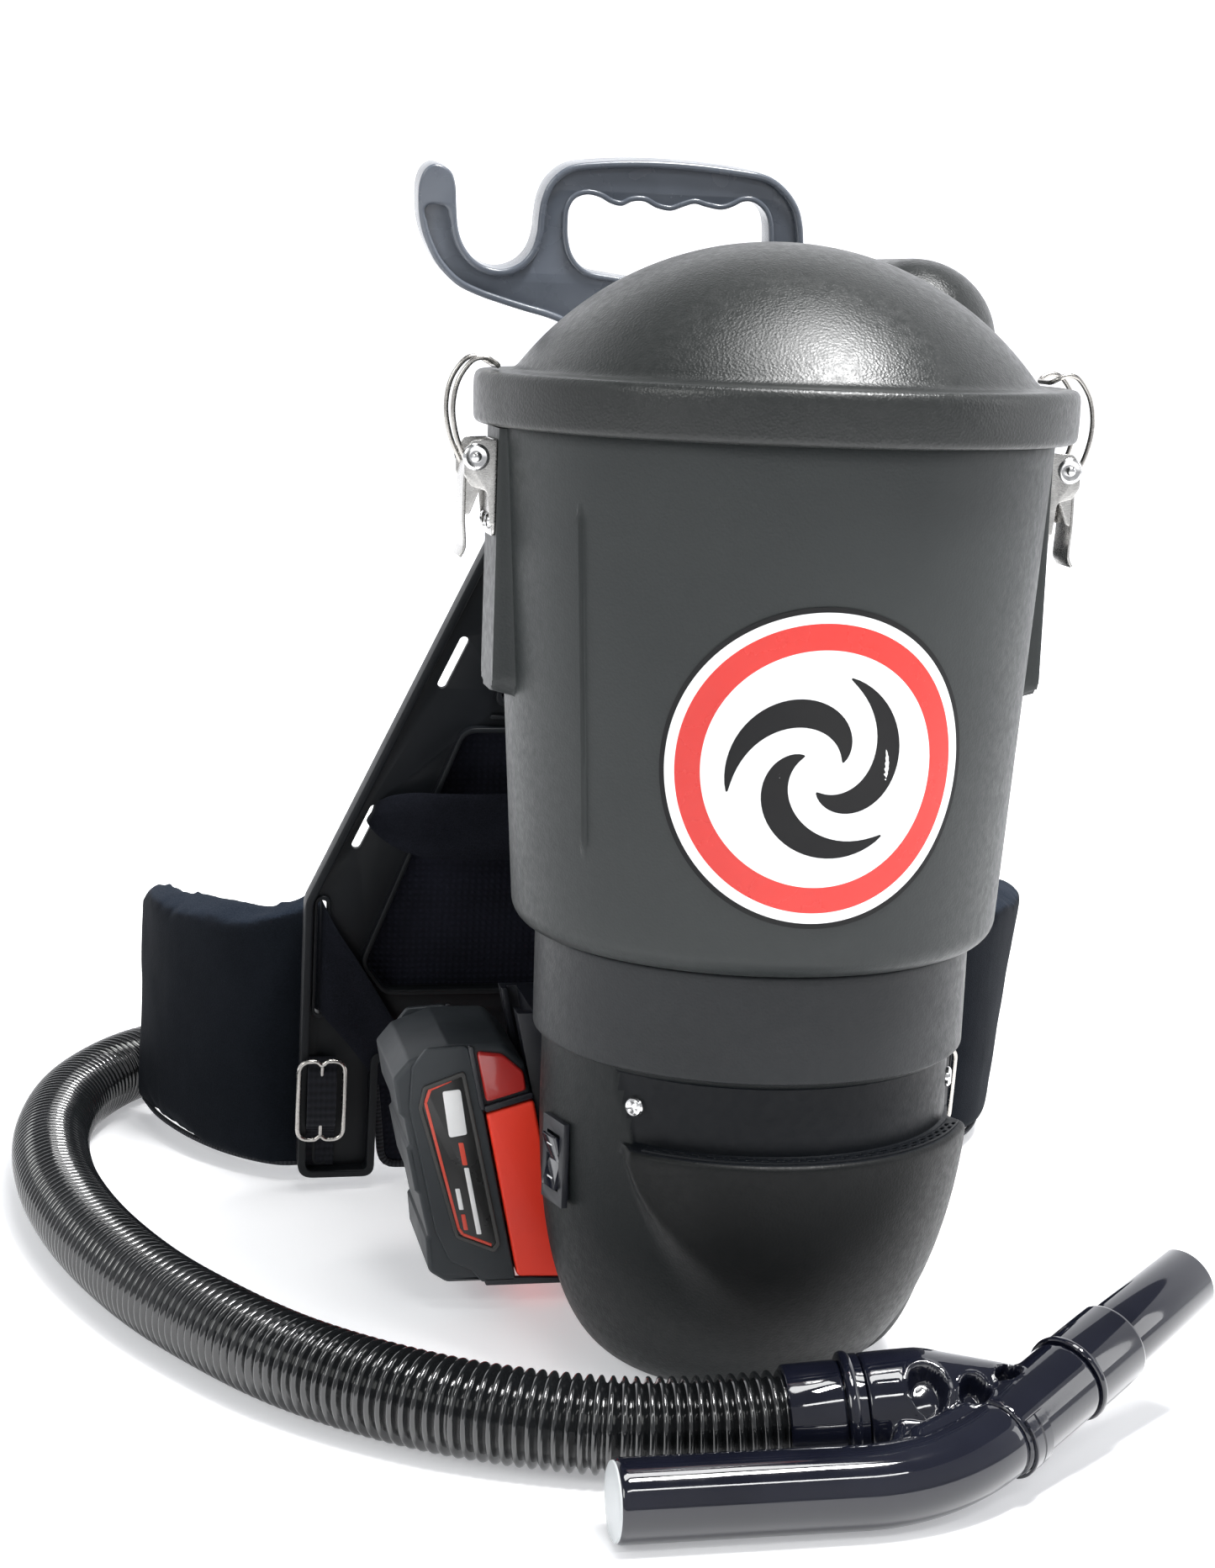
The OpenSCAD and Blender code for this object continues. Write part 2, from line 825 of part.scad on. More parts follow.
module back_frame() {
    color(near_black) {
        difference() {
            union() {
                in_frame(plate_t)
                    difference() {
                        polygon(frame_edge);
                        each_side() {
                            polygon(lower_window);
                            polygon(upper_window);
                        }
                    }
                in_frame(flange_h)
                    difference() {
                        polygon(frame_edge);
                        polygon(shifted(frame_edge, 4.5));
                    }
                in_frame(9)
                    each_side() {
                        window_rib(lower_window);
                        window_rib(upper_window);
                    }
            }
            in_frame(40, 5)
                frame_slots();
            on_frame()
                for (x = [-35, 35])
                    translate([x, 10, 168])
                        rotate([90, 0, 0])
                            cylinder(r = 3.1, h = 40, $fn = 24);
            on_frame()
                for (x = [-18, 18], z = [376, 452, 474])
                    translate([x, 10, z])
                        rotate([90, 0, 0])
                            cylinder(r = 3.1, h = 40, $fn = 24);
            // the carrier, bracket and handle tongue seat on the bare plate
            on_frame()
                translate([-60, -40, 60])
                    cube([120, 40 - plate_t, 146]);
            on_frame()
                translate([-38, -40, 420])
                    cube([76, 40 - plate_t, 80]);
            on_frame()
                translate([-60, -40, 466])
                    cube([120, 40 - plate_t, 40]);
        }
    }
}

module bolt_back() {
    translate([0, 0.1, 0])
        rotate([-90, 0, 0])
            cylinder(r1 = 5.5, r2 = 4, h = 3, $fn = 32);
    translate([0, 1, 0])
        rotate([90, 0, 0])
            cylinder(r = 3, h = 18, $fn = 24);
}

module frame_bolts() {
    color(steel)
        on_frame() {
            for (x = [-35, 35])
                translate([x, 0, 168])
                    bolt_back();
            for (x = [-18, 18])
                translate([x, 0, 376])
                    bolt_back();
        }
}

module handle_bolts() {
    color(steel)
        on_frame()
            for (x = [-18, 18], z = [452, 474])
                translate([x, 0, z])
                    bolt_back();
}

handle_hole = [-8, 532];
hook_at = [-99.5, 537];
module handle_shape() {
    difference() {
        union() {
            translate([-9, 534])
                round_box2d([142, 74], 22);
            polygon([[-99, 498], [-66, 492], [-38, 470], [-38, 424], [38, 424], [38, 484],
                [48, 500], [58, 520], [-60, 534]]);
            translate(hook_at)
                circle(r = 41.5, $fn = 64);
            translate([hook_at[0] - 31.5, 558])
                circle(r = 10, $fn = 32);
            translate([hook_at[0] - 41.5, 537])
                square([20, 21]);
        }
        translate(handle_hole)
            round_box2d([106, 42], 12);
        // gap of the open hook beside the finger loop
        translate(hook_at)
            circle(r = 21.5, $fn = 48);
        translate([hook_at[0] - 21.5, 537])
            square([41.5, 60]);
    }
    // finger bumps along the underside of the top bar
    for (x = [-37, -9, 19])
        translate([x, 557.5])
            circle(r = 13, $fn = 32);
}

module carry_handle() {
    color(gloss_black)
        difference() {
            on_frame()
                translate([0, -plate_t - gap, 0])
                    rotate([90, 0, 0])
                        linear_extrude(20)
                            handle_shape();
            on_frame()
                for (x = [-18, 18], z = [452, 474])
                    translate([x, 10, z])
                        rotate([90, 0, 0])
                            cylinder(r = 3.1, h = 60, $fn = 24);
        }
}

module back_pad() {
    color(fabric_black)
        on_frame()
            translate([0, 16.5, 0])
                rotate([90, 0, 0])
                    linear_extrude(12)
                        polygon([[-143, 4], [143, 4], [149, 130], [96, 306], [84, 345],
                            [-84, 345], [-96, 306], [-149, 130]]);
}

strap_path = spline([[34, 213.4, 398], [40, 236, 412], [46, 256, 396], [60, 272, 345], [78, 282, 290],
    [96, 290, 220], [112, 296, 150]], 5);

module shoulder_strap() {
    color(fabric_black)
        flat_sweep(strap_path, 46, 9, [1, 0, 0]);
}
module shoulder_strap_right() {
    shoulder_strap();
}
module shoulder_strap_left() {
    mirror_x(true)
        shoulder_strap();
}

module waist_pad() {
    color(fabric_black)
        intersection() {
            linear_extrude(200)
                polygon([[170, 272], [200, 266], [250, 325], [272, 396], [258, 400], [236, 335], [190, 285], [168, 288]]);
            translate([0, 500, 0])
                rotate([90, 0, 0])
                    linear_extrude(400)
                        polygon([[150, 4], [200, 4], [280, 14], [280, 136], [200, 168], [150, 168]]);
        }
}
module waist_pad_right() {
    waist_pad();
}
module waist_pad_left() {
    mirror_x(true)
        waist_pad();
}

belt_half = [[262, 402, 70], [230, 412, 62], [170, 408, 44], [110, 400, 28], [34, 398, 22]];
module waist_webbing() {
    color(fabric_black)
        for (m = [0, 1])
            mirror([m, 0, 0])
                flat_sweep(spline(belt_half, 6), 38, 2, [0, 0, 1]);
}

module waist_buckle() {
    color(near_black)
        translate([0, 398, 25]) {
            difference() {
                cube([64, 12, 46], center = true);
                for (s = [-1, 1])
                    translate([s * 30, 0, 0])
                        cube([20, 4, 42], center = true);
            }
            for (s = [-1, 1])
                translate([0, 0, s * 22.6])
                    cube([30, 9, 3], center = true);
        }
}

module cross_strap() {
    color(fabric_black)
        flat_sweep(spline([[-152, 219, 214], [-120, 212, 216], [-60, 209, 217], [0, 208.5, 217],
            [60, 209, 217], [120, 212, 216], [152, 219, 214]], 4), 36, 1.8, [0, 0, 1]);
}

module belt_strap() {
    color(fabric_black)
        flat_sweep(spline([[176, 226, 140], [160, 224, 128], [130, 224, 108], [100, 226, 94], [66, 229, 86]], 4),
            46, 1.8, [0, 0, 1]);
}
module belt_strap_right() {
    belt_strap();
}
module belt_strap_left() {
    mirror_x(true)
        belt_strap();
}

module wire_slide() {
    color(steel)
        on_frame()
            translate([177.3, -14.4, 56])
                rotate([90, 0, 0])
                    linear_extrude(2.6, center = true) {
                        difference() {
                            round_box2d([28, 50], 7);
                            round_box2d([22.8, 44.8], 4.6);
                        }
                        square([2.6, 45], center = true);
                    }
}
module wire_slide_right() {
    wire_slide();
}
module wire_slide_left() {
    mirror_x(true)
        wire_slide();
}

// ---- hose and hand-piece --------------------------------------------------------

hose_route = [
    [80, 182, 483], [80, 240, 482], [80, 325, 462], [80, 392, 405], [80, 428, 320], [77, 442, 230],
    [62, 450, 140], [18, 455, 70], [-55, 460, 31], [-140, 463, 22], [-215, 459, 22], [-268, 440, 22],
    [-307, 376, 22], [-323, 300, 22], [-322, 221, 22], [-309, 147, 22], [-287, 77, 22],
    [-259, 17, 22], [-215, -50, 22], [-159, -101, 22], [-97, -131, 22], [-50, -139, 22.5], [-14, -142, 25]
];

module hose() {
    color(gloss_black)
        round_sweep(spline(hose_route, 3), hose_d / 2, 12);
}

module hose_cuff_lid() {
    color(gloss_black)
        translate([port_x, 0, port_z])
            rotate([-90, 0, 0])
                difference() {
                    union() {
                        translate([0, 0, 112])
                            cylinder(r = port_r - 0.3, h = 69.6, $fn = 64);
                        translate([0, 0, 138])
                            cylinder(r = 27, h = 8, $fn = 64);
                    }
                    translate([0, 0, 111])
                        cylinder(r = 19, h = 64, $fn = 64);
                }
}

socket_dir = unit(socket_to - socket_from);
socket_yaw = atan2(socket_dir[1], socket_dir[0]);
socket_pitch = -asin(socket_dir[2]);

module on_socket(d) {
    translate(socket_from + d * socket_dir)
        rotate([0, 0, socket_yaw])
            rotate([0, socket_pitch, 0])
                children();
}

module hose_cuff_hand() {
    color(gloss_black)
        on_socket(0.3)
            rotate([0, 90, 0])
                difference() {
                    union() {
                        cylinder(r = 23, h = 24.2, $fn = 64);
                        cylinder(r = 21, h = 44, $fn = 64);
                    }
                    translate([0, 0, -1])
                        cylinder(r = 18, h = 46, $fn = 64);
                }
}

module socket_ring() {
    color(gloss_black)
        on_socket(24.8)
            tube_x(26.5, 21.3, 9);
}

bend_t = bend_r * tan(bend_a / 2);
bend_start = bend_x - bend_t;
arm_from = [bend_x + bend_t * cos(bend_a), bend_t * sin(bend_a)];
arm_len = 149;
sleeve_len = 31;
slider_at = 2;
bleed_a = -118;

module on_arm(d) {
    translate([arm_from[0], arm_from[1], 0])
        rotate([0, 0, bend_a])
            translate([d, 0, 0])
                children();
}

module bend_solid(r) {
    translate([grip_end, 0, 0])
        rotate([0, 90, 0])
            cylinder(r = r, h = bend_start - grip_end, $fn = 64);
    translate([bend_start, bend_r, 0])
        rotate([0, 0, -90])
            rotate_extrude(angle = bend_a, $fn = 96)
                translate([bend_r, 0])
                    circle(r = r, $fn = 48);
}

module hand_grip() {
    color(gloss_black)
        in_hand()
            difference() {
                bend_solid(grip_d / 2);
                bend_solid(grip_d / 2 - 2.5);
            }
}

module grip_cap() {
    color([0.72, 0.73, 0.74])
        in_hand()
            translate([grip_end - 1.4, 0, 0])
                rotate([0, 90, 0])
                    cylinder(r = grip_d / 2 - 0.3, h = 1.3, $fn = 64);
}

// Open band that turns round the arm and covers the bleed hole.
module suction_slider() {
    color(near_black)
        in_hand()
            on_arm(slider_at)
                rotate([0, 90, 0])
                    sector([[18.65, 0], [20.2, 0], [20.2, 12], [18.65, 12]], -150, 110);
}

// Socket, cone and arm as one shape; grow carries it past its own ends for the bore.
module y_shape(socket_r, tip_r, arm_r, grow) {
    on_socket(34 - grow)
        rotate([0, 90, 0])
            cylinder(r = socket_r, h = 27.4 + grow, $fn = 64);
    on_socket(61.4)
        rotate([0, 90, 0])
            cylinder(r1 = socket_r, r2 = tip_r, h = 48, $fn = 64);
    in_hand()
        on_arm(0.2 - grow)
            rotate([0, 90, 0])
                cylinder(r = arm_r, h = 52 + 2 * grow, $fn = 64);
}

// One moulding joins the hose socket to the arm; the grip's end is bonded into it.
module wand_body() {
    color(gloss_black)
        difference() {
            y_shape(25, 12, 18.6, 0);
            y_shape(21.3, 8.5, 15.5, 1);
            in_hand()
                on_arm(slider_at + 6)
                    rotate([bleed_a, 0, 0])
                        translate([0, 17, 0])
                            rotate([90, 0, 0])
                                cylinder(r = 3, h = 10, center = true, $fn = 24);
        }
}

module wand_sleeve() {
    color(gloss_black)
        in_hand()
            on_arm(52.4) {
                tube_x(20.2, outlet_d / 2 - gap, 4);
                translate([4, 0, 0])
                    tube_x(19.2, outlet_d / 2 - gap, sleeve_len);
            }
}

// Thinner inside the sleeve, full size on the bare end that takes a floor wand.
module outlet_tube() {
    bare_len = 61.2;
    color(gloss_black)
        in_hand()
            on_arm(54)
                rotate([0, 90, 0])
                    difference() {
                        union() {
                            cylinder(r = outlet_d / 2 - 2 * gap, h = arm_len - 54, $fn = 64);
                            translate([0, 0, arm_len - 54 - bare_len])
                                cylinder(r = outlet_d / 2, h = bare_len, $fn = 64);
                        }
                        translate([0, 0, -1])
                            cylinder(r = outlet_d / 2 - 2.4, h = arm_len, $fn = 64);
                    }
}

// ---- nodes --------------------------------------------------------------------

tub();
motor_housing();
base_cover();
exhaust_grille();
cover_screws();
lid();
lid_gasket();
inlet_collar();
bag_ring();
dust_bag();
motor_filter();
motor();
impeller();
badge();
latch_bracket_right();
latch_lever_right();
bail_right();
latch_bracket_left();
latch_lever_left();
bail_left();
switch_bezel();
switch_rocker();
carrier();
upper_bracket();
battery_dock();
battery_case();
battery_shell();
battery_label();
button_front();
button_rear();
circuit_board();
back_frame();
frame_bolts();
carry_handle();
handle_bolts();
back_pad();
shoulder_strap_left();
shoulder_strap_right();
waist_pad_left();
waist_pad_right();
waist_webbing();
waist_buckle();
cross_strap();
belt_strap_left();
belt_strap_right();
wire_slide_left();
wire_slide_right();
hose();
hose_cuff_lid();
hose_cuff_hand();
hand_grip();
grip_cap();
suction_slider();
wand_body();
socket_ring();
wand_sleeve();
outlet_tube();
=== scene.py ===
from math import asin, atan2, copysign, cos, degrees, exp, hypot, pi, radians, sin, sqrt, tan, tau

import bmesh
import bpy
from mathutils import Matrix, Vector, noise


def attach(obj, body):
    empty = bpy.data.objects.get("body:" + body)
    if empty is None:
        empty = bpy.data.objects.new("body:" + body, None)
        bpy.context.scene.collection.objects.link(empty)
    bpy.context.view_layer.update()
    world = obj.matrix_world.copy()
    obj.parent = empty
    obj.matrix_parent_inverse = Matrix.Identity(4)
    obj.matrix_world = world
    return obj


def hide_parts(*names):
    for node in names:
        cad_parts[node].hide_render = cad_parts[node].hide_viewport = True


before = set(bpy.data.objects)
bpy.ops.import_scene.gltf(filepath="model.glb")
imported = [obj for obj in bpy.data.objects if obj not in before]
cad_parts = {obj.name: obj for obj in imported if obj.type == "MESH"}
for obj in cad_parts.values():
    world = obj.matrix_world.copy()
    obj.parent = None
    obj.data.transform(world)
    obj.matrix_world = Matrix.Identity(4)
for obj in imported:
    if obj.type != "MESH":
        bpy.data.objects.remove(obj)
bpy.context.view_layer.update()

scene = bpy.context.scene
MM = 0.001
MERGE = 2e-6             # points nearer than this, in metres, are one
SWAP_AXES = Matrix(((0, 0, 1, 0), (1, 0, 0, 0), (0, 1, 0, 0), (0, 0, 0, 1)))    # local x, y, z to Y, Z, X
SIDE_WORD = {1: "right", -1: "left"}

# ---- camera ---------------------------------------------------------------------

CAMERA_AT = Vector((-0.3212, -1.1987, 0.5000))
CAMERA_RIGHT = Vector((0.97962, -0.19749, 0.03561))
CAMERA_UP = Vector((0.00090, 0.18175, 0.98334))
CAMERA_BACK = Vector((-0.20067, -0.96328, 0.17824))


def add_camera():
    data = bpy.data.cameras.new("camera")
    data.sensor_fit = "VERTICAL"
    data.sensor_height = 24.0
    data.lens = 41.18
    data.clip_start = 0.01
    camera = bpy.data.objects.new("camera", data)
    axes = Matrix((CAMERA_RIGHT, CAMERA_UP, CAMERA_BACK)).transposed()
    camera.matrix_world = Matrix.Translation(CAMERA_AT) @ axes.to_4x4()
    scene.collection.objects.link(camera)
    scene.camera = camera


add_camera()

# ---- small mathematics ----------------------------------------------------------


def smooth_step(low, high, x):
    t = min(max((x - low) / (high - low), 0.0), 1.0)
    return t * t * (3 - 2 * t)


def mix(a, b, t):
    return a + (b - a) * t


def spline(points, steps):
    """Points along a smooth curve through given points."""
    made = []
    last = len(points) - 1
    for i in range(last):
        a, b = points[max(i - 1, 0)], points[i]
        c, d = points[i + 1], points[min(i + 2, last)]
        for k in range(steps):
            t = k / steps
            made.append(0.5 * (2 * b + (c - a) * t + (2 * a - 5 * b + 4 * c - d) * t * t
                               + (3 * b - a - 3 * c + d) * t ** 3))
    return made + [points[last]]


def evenly(points, step):
    """The same line with its points a step apart."""
    gone = [0.0]
    for a, b in zip(points, points[1:]):
        gone.append(gone[-1] + (b - a).length)
    count = max(int(round(gone[-1] / step)), 2)
    made, k = [], 0
    for i in range(count + 1):
        s = gone[-1] * i / count
        while k < len(gone) - 2 and gone[k + 1] < s:
            k += 1
        t = (s - gone[k]) / max(gone[k + 1] - gone[k], 1e-9)
        made.append(points[k].lerp(points[k + 1], min(t, 1.0)))
    return made


def moved(x, y, z):
    """A shift given in mm."""
    return Matrix.Translation((x * MM, y * MM, z * MM))


def turned(degrees, axis):
    return Matrix.Rotation(radians(degrees), 4, axis)


def arc2(centre, radius, start, end, count):
    """Points of an arc in a plane, angles in degrees."""
    return [Vector((centre[0] + radius * cos(radians(mix(start, end, i / count))),
                    centre[1] + radius * sin(radians(mix(start, end, i / count)))))
            for i in range(count + 1)]


def fillet(points, radii, closed=False, count=5):
    """A plane outline with its corners rounded; radii is one number or one for each point."""
    made, total = [], len(points)
    for i, p in enumerate(points):
        p = Vector(p)
        r = radii if isinstance(radii, (int, float)) else radii[i]
        if r <= 0 or (not closed and i in (0, total - 1)):
            made.append(p)
            continue
        a = (Vector(points[i - 1]) - p)
        b = (Vector(points[(i + 1) % total]) - p)
        half = a.angle(b) / 2
        cut = min(r / tan(half), 0.49 * min(a.length, b.length))
        start, end = p + a.normalized() * cut, p + b.normalized() * cut
        for k in range(count + 1):
            t = k / count
            made.append((1 - t) ** 2 * start + 2 * t * (1 - t) * p + t * t * end)
    return made


def rounded(outline, radii, count=6):
    """A closed outline with its corners rounded."""
    return fillet(outline, radii, True, count)


def bezier(p0, p1, p2, p3, count):
    made = []
    for i in range(count + 1):
        t = i / count
        s = 1 - t
        made.append(Vector(p0) * s ** 3 + Vector(p1) * 3 * s * s * t
                    + Vector(p2) * 3 * s * t * t + Vector(p3) * t ** 3)
    return made


# ---- materials ------------------------------------------------------------------


class Shader:
    """A node material with short calls for its nodes and links."""

    def __init__(self, name, color, roughness, **sockets):
        self.material = bpy.data.materials.new(name)
        self.material.use_nodes = True
        self.tree = self.material.node_tree
        self.bsdf = self.tree.nodes["Principled BSDF"]
        self.bsdf.inputs["Base Color"].default_value = (*color, 1)
        self.bsdf.inputs["Roughness"].default_value = roughness
        for key, value in sockets.items():
            self.bsdf.inputs[key.replace("_", " ")].default_value = value
        self.coords = self.node("ShaderNodeTexCoord").outputs["Object"]
        self.normal = None

    def node(self, kind, inputs=None, **settings):
        made = self.tree.nodes.new(kind)
        for key, value in settings.items():
            setattr(made, key, value)
        for key, value in (inputs or {}).items():
            if isinstance(value, bpy.types.NodeSocket):
                self.tree.links.new(value, made.inputs[key])
            else:
                made.inputs[key].default_value = value
        return made

    def math(self, operation, a, b=0.0):
        return self.node("ShaderNodeMath", {0: a, 1: b}, operation=operation).outputs[0]

    def noise(self, scale, detail=3.0, coords=None):
        return self.node("ShaderNodeTexNoise", {
            "Vector": coords or self.coords, "Scale": scale, "Detail": detail}).outputs["Fac"]

    def ramp(self, value, low, high, start=0.0, end=1.0):
        return self.node("ShaderNodeMapRange", {
            "Value": value, "From Min": start, "From Max": end,
            "To Min": low, "To Max": high}).outputs["Result"]

    def tint(self, factor, a, b):
        made = self.node("ShaderNodeMix", data_type="RGBA")
        self.tree.links.new(factor, made.inputs[0])
        made.inputs[6].default_value = (*a, 1)
        made.inputs[7].default_value = (*b, 1)
        return made.outputs[2]

    def shaded(self, color, share, change):
        """The colour made lighter or darker by a share that is stored on the piece's points; on the pads this
        paints top light.
        """
        stored = self.node("ShaderNodeAttribute", attribute_name=share).outputs["Fac"]
        scale = self.math("ADD", 1.0, self.math("MULTIPLY", stored, change))
        return self.node("ShaderNodeVectorMath", {0: color, "Scale": scale}, operation="SCALE").outputs[0]

    def set(self, key, value):
        self.tree.links.new(value, self.bsdf.inputs[key])
        return self

    def bump(self, height, strength, distance):
        """One more layer of bump, on top of those before it."""
        made = self.node("ShaderNodeBump", {
            "Height": height, "Strength": strength, "Distance": distance})
        if self.normal is not None:
            self.tree.links.new(self.normal, made.inputs["Normal"])
        self.normal = made.outputs["Normal"]
        self.tree.links.new(self.normal, self.bsdf.inputs["Normal"])
        return self


GRAIN = 820.0            # cells of the leather grain to a metre
DEEP_CHANGE, TOP_LIGHT_CHANGE = -0.62, 3.2    # how far a stored share darkens the scoop, or lightens the pads' upward faces as painted top light


def grained_shell(name, dark, light, roughness, depth=0.00016, strength=0.55, shine=0.36,
                  deep=False):
    """Moulded plastic with a fine leather grain."""
    s = Shader(name, dark, roughness, Specular_IOR_Level=shine)
    warp = s.noise(260, 3)
    cells = s.node("ShaderNodeTexVoronoi", {
        "Vector": s.coords, "Scale": GRAIN, "Smoothness": 0.35, "Randomness": 1.0},
        feature="SMOOTH_F1").outputs["Distance"]
    fine = s.noise(GRAIN * 2.2, 2)
    height = s.math("ADD", s.math("MULTIPLY", cells, 0.8), s.math("MULTIPLY", fine, 0.35))
    cloud = s.noise(9, 4)
    base = s.tint(s.ramp(cloud, 0.0, 1.0, 0.35, 0.7), dark, light)
    s.set("Base Color", s.shaded(base, "deep", DEEP_CHANGE) if deep else base)
    s.set("Roughness", s.ramp(warp, roughness - 0.05, roughness + 0.08, 0.3, 0.7))
    s.bump(cloud, 0.05, 0.002)
    return s.bump(height, strength, depth).material


def moulded(name, dark, light, roughness, ripple=0.05, scratch=0.03, **sockets):
    """Smooth moulded plastic with faint flow marks, handling haze and a little dust."""
    s = Shader(name, dark, roughness, **sockets)
    flow = s.noise(14, 4)
    haze = s.noise(55, 6)
    s.set("Base Color", s.tint(s.ramp(flow, 0.0, 1.0, 0.35, 0.7), dark, light))
    s.set("Roughness", s.ramp(haze, max(roughness - scratch, 0.02), roughness + 2 * scratch, 0.35, 0.75))
    s.bump(s.noise(32, 2), ripple, 0.0015)
    return s.bump(s.noise(900, 2), 0.06, 0.0001).material


def metal(name, color, roughness, stretch=(1, 1, 1)):
    s = Shader(name, color, roughness, Metallic=1.0)
    brushed = s.node("ShaderNodeMapping", {"Vector": s.coords, "Scale": stretch}).outputs[0]
    lines = s.noise(900, 3, brushed)
    s.set("Roughness", s.ramp(lines, roughness * 0.7, roughness * 1.6, 0.3, 0.7))
    dark = tuple(c * 0.72 for c in color)
    s.set("Base Color", s.tint(s.ramp(s.noise(90, 4), 0, 1, 0.4, 0.75), color, dark))
    return s.bump(lines, 0.08, 0.0001).material


def woven(name, dark, light, thread, strength=0.6):
    """Plain-weave fabric whose threads follow the object's own axes, with painted shade in the gaps between
    threads and worn patches.
    """
    s = Shader(name, dark, 0.85, Sheen_Weight=0.06, Sheen_Roughness=0.5, Specular_IOR_Level=0.15)
    s.bsdf.inputs["Sheen Tint"].default_value = (0.5, 0.52, 0.6, 1)
    wobble = s.node("ShaderNodeTexNoise", {"Vector": s.coords, "Scale": 60.0}).outputs["Color"]
    shift = s.node("ShaderNodeVectorMath", {0: wobble}, operation="SCALE")
    shift.inputs["Scale"].default_value = 0.0009
    where = s.node("ShaderNodeVectorMath", {0: s.coords, 1: shift.outputs[0]}, operation="ADD").outputs[0]
    waves = []
    for axis in ("X", "Z", "Y"):
        waves.append(s.node("ShaderNodeTexWave", {
            "Vector": where, "Scale": 1.0 / (thread * 6.283), "Distortion": 0.0},
            wave_type="BANDS", bands_direction=axis).outputs["Fac"])
    over = s.math("MULTIPLY", waves[0], waves[1])
    height = s.math("ADD", over, s.math("MULTIPLY", waves[2], 0.35))
    worn = s.noise(22, 5)
    # painted shade: thread tops lighter and the gaps between them darker, plus real worn patches
    thread_shade_and_wear = s.math("ADD", s.math("MULTIPLY", height, 0.5), s.ramp(worn, -0.2, 0.5, 0.3, 0.7))
    s.set("Base Color", s.tint(thread_shade_and_wear, dark, light))
    s.bump(s.noise(70, 4), 0.25, 0.0012)
    return s.bump(height, strength, 0.0005).material


def felted(name, dark, light, upper=False):
    """Close-knit cloth with a fine even grain and soft worn patches; with upper, its upward faces get painted
    top light.
    """
    s = Shader(name, dark, 0.88, Sheen_Weight=0.03, Sheen_Roughness=0.5, Specular_IOR_Level=0.07)
    s.bsdf.inputs["Sheen Tint"].default_value = (0.5, 0.54, 0.62, 1)
    fine = s.noise(1300, 2)
    worn = s.noise(18, 4)
    share = s.math("ADD", s.ramp(fine, 0.0, 0.6, 0.35, 0.7), s.ramp(worn, 0.0, 0.4, 0.35, 0.7))
    base = s.tint(share, dark, light)
    # painted top light: the stored upper share lightens the faces that point upwards
    s.set("Base Color", s.shaded(base, "upper", TOP_LIGHT_CHANGE) if upper else base)
    s.bump(s.noise(60, 4), 0.3, 0.0014)
    return s.bump(fine, 0.55, 0.0004).material


def ribbed_webbing(name, dark, light, rib=0.0022):
    """Strap webbing: ribs across the strap, from the strap's own lengthwise UV in metres, with painted shade
    in the grooves between the ribs.
    """
    s = Shader(name, dark, 0.8, Sheen_Weight=0.08, Sheen_Roughness=0.45, Specular_IOR_Level=0.2)
    s.bsdf.inputs["Sheen Tint"].default_value = (0.6, 0.62, 0.7, 1)
    uv = s.node("ShaderNodeUVMap", uv_map="weave").outputs[0]
    along = s.node("ShaderNodeTexWave", {"Vector": uv, "Scale": 1.0 / (rib * 6.283)},
                   wave_type="BANDS", bands_direction="X").outputs["Fac"]
    across = s.node("ShaderNodeTexWave", {"Vector": uv, "Scale": 1.0 / (rib * 4.2)},
                    wave_type="BANDS", bands_direction="Y").outputs["Fac"]
    height = s.math("ADD", along, s.math("MULTIPLY", across, 0.5))
    # painted shade: the grooves between the ribs darker, the rib tops lighter
    s.set("Base Color", s.tint(s.math("MULTIPLY", height, 0.7), dark, light))
    s.bump(s.noise(240, 3), 0.2, 0.0004)
    return s.bump(height, 0.7, 0.0005).material


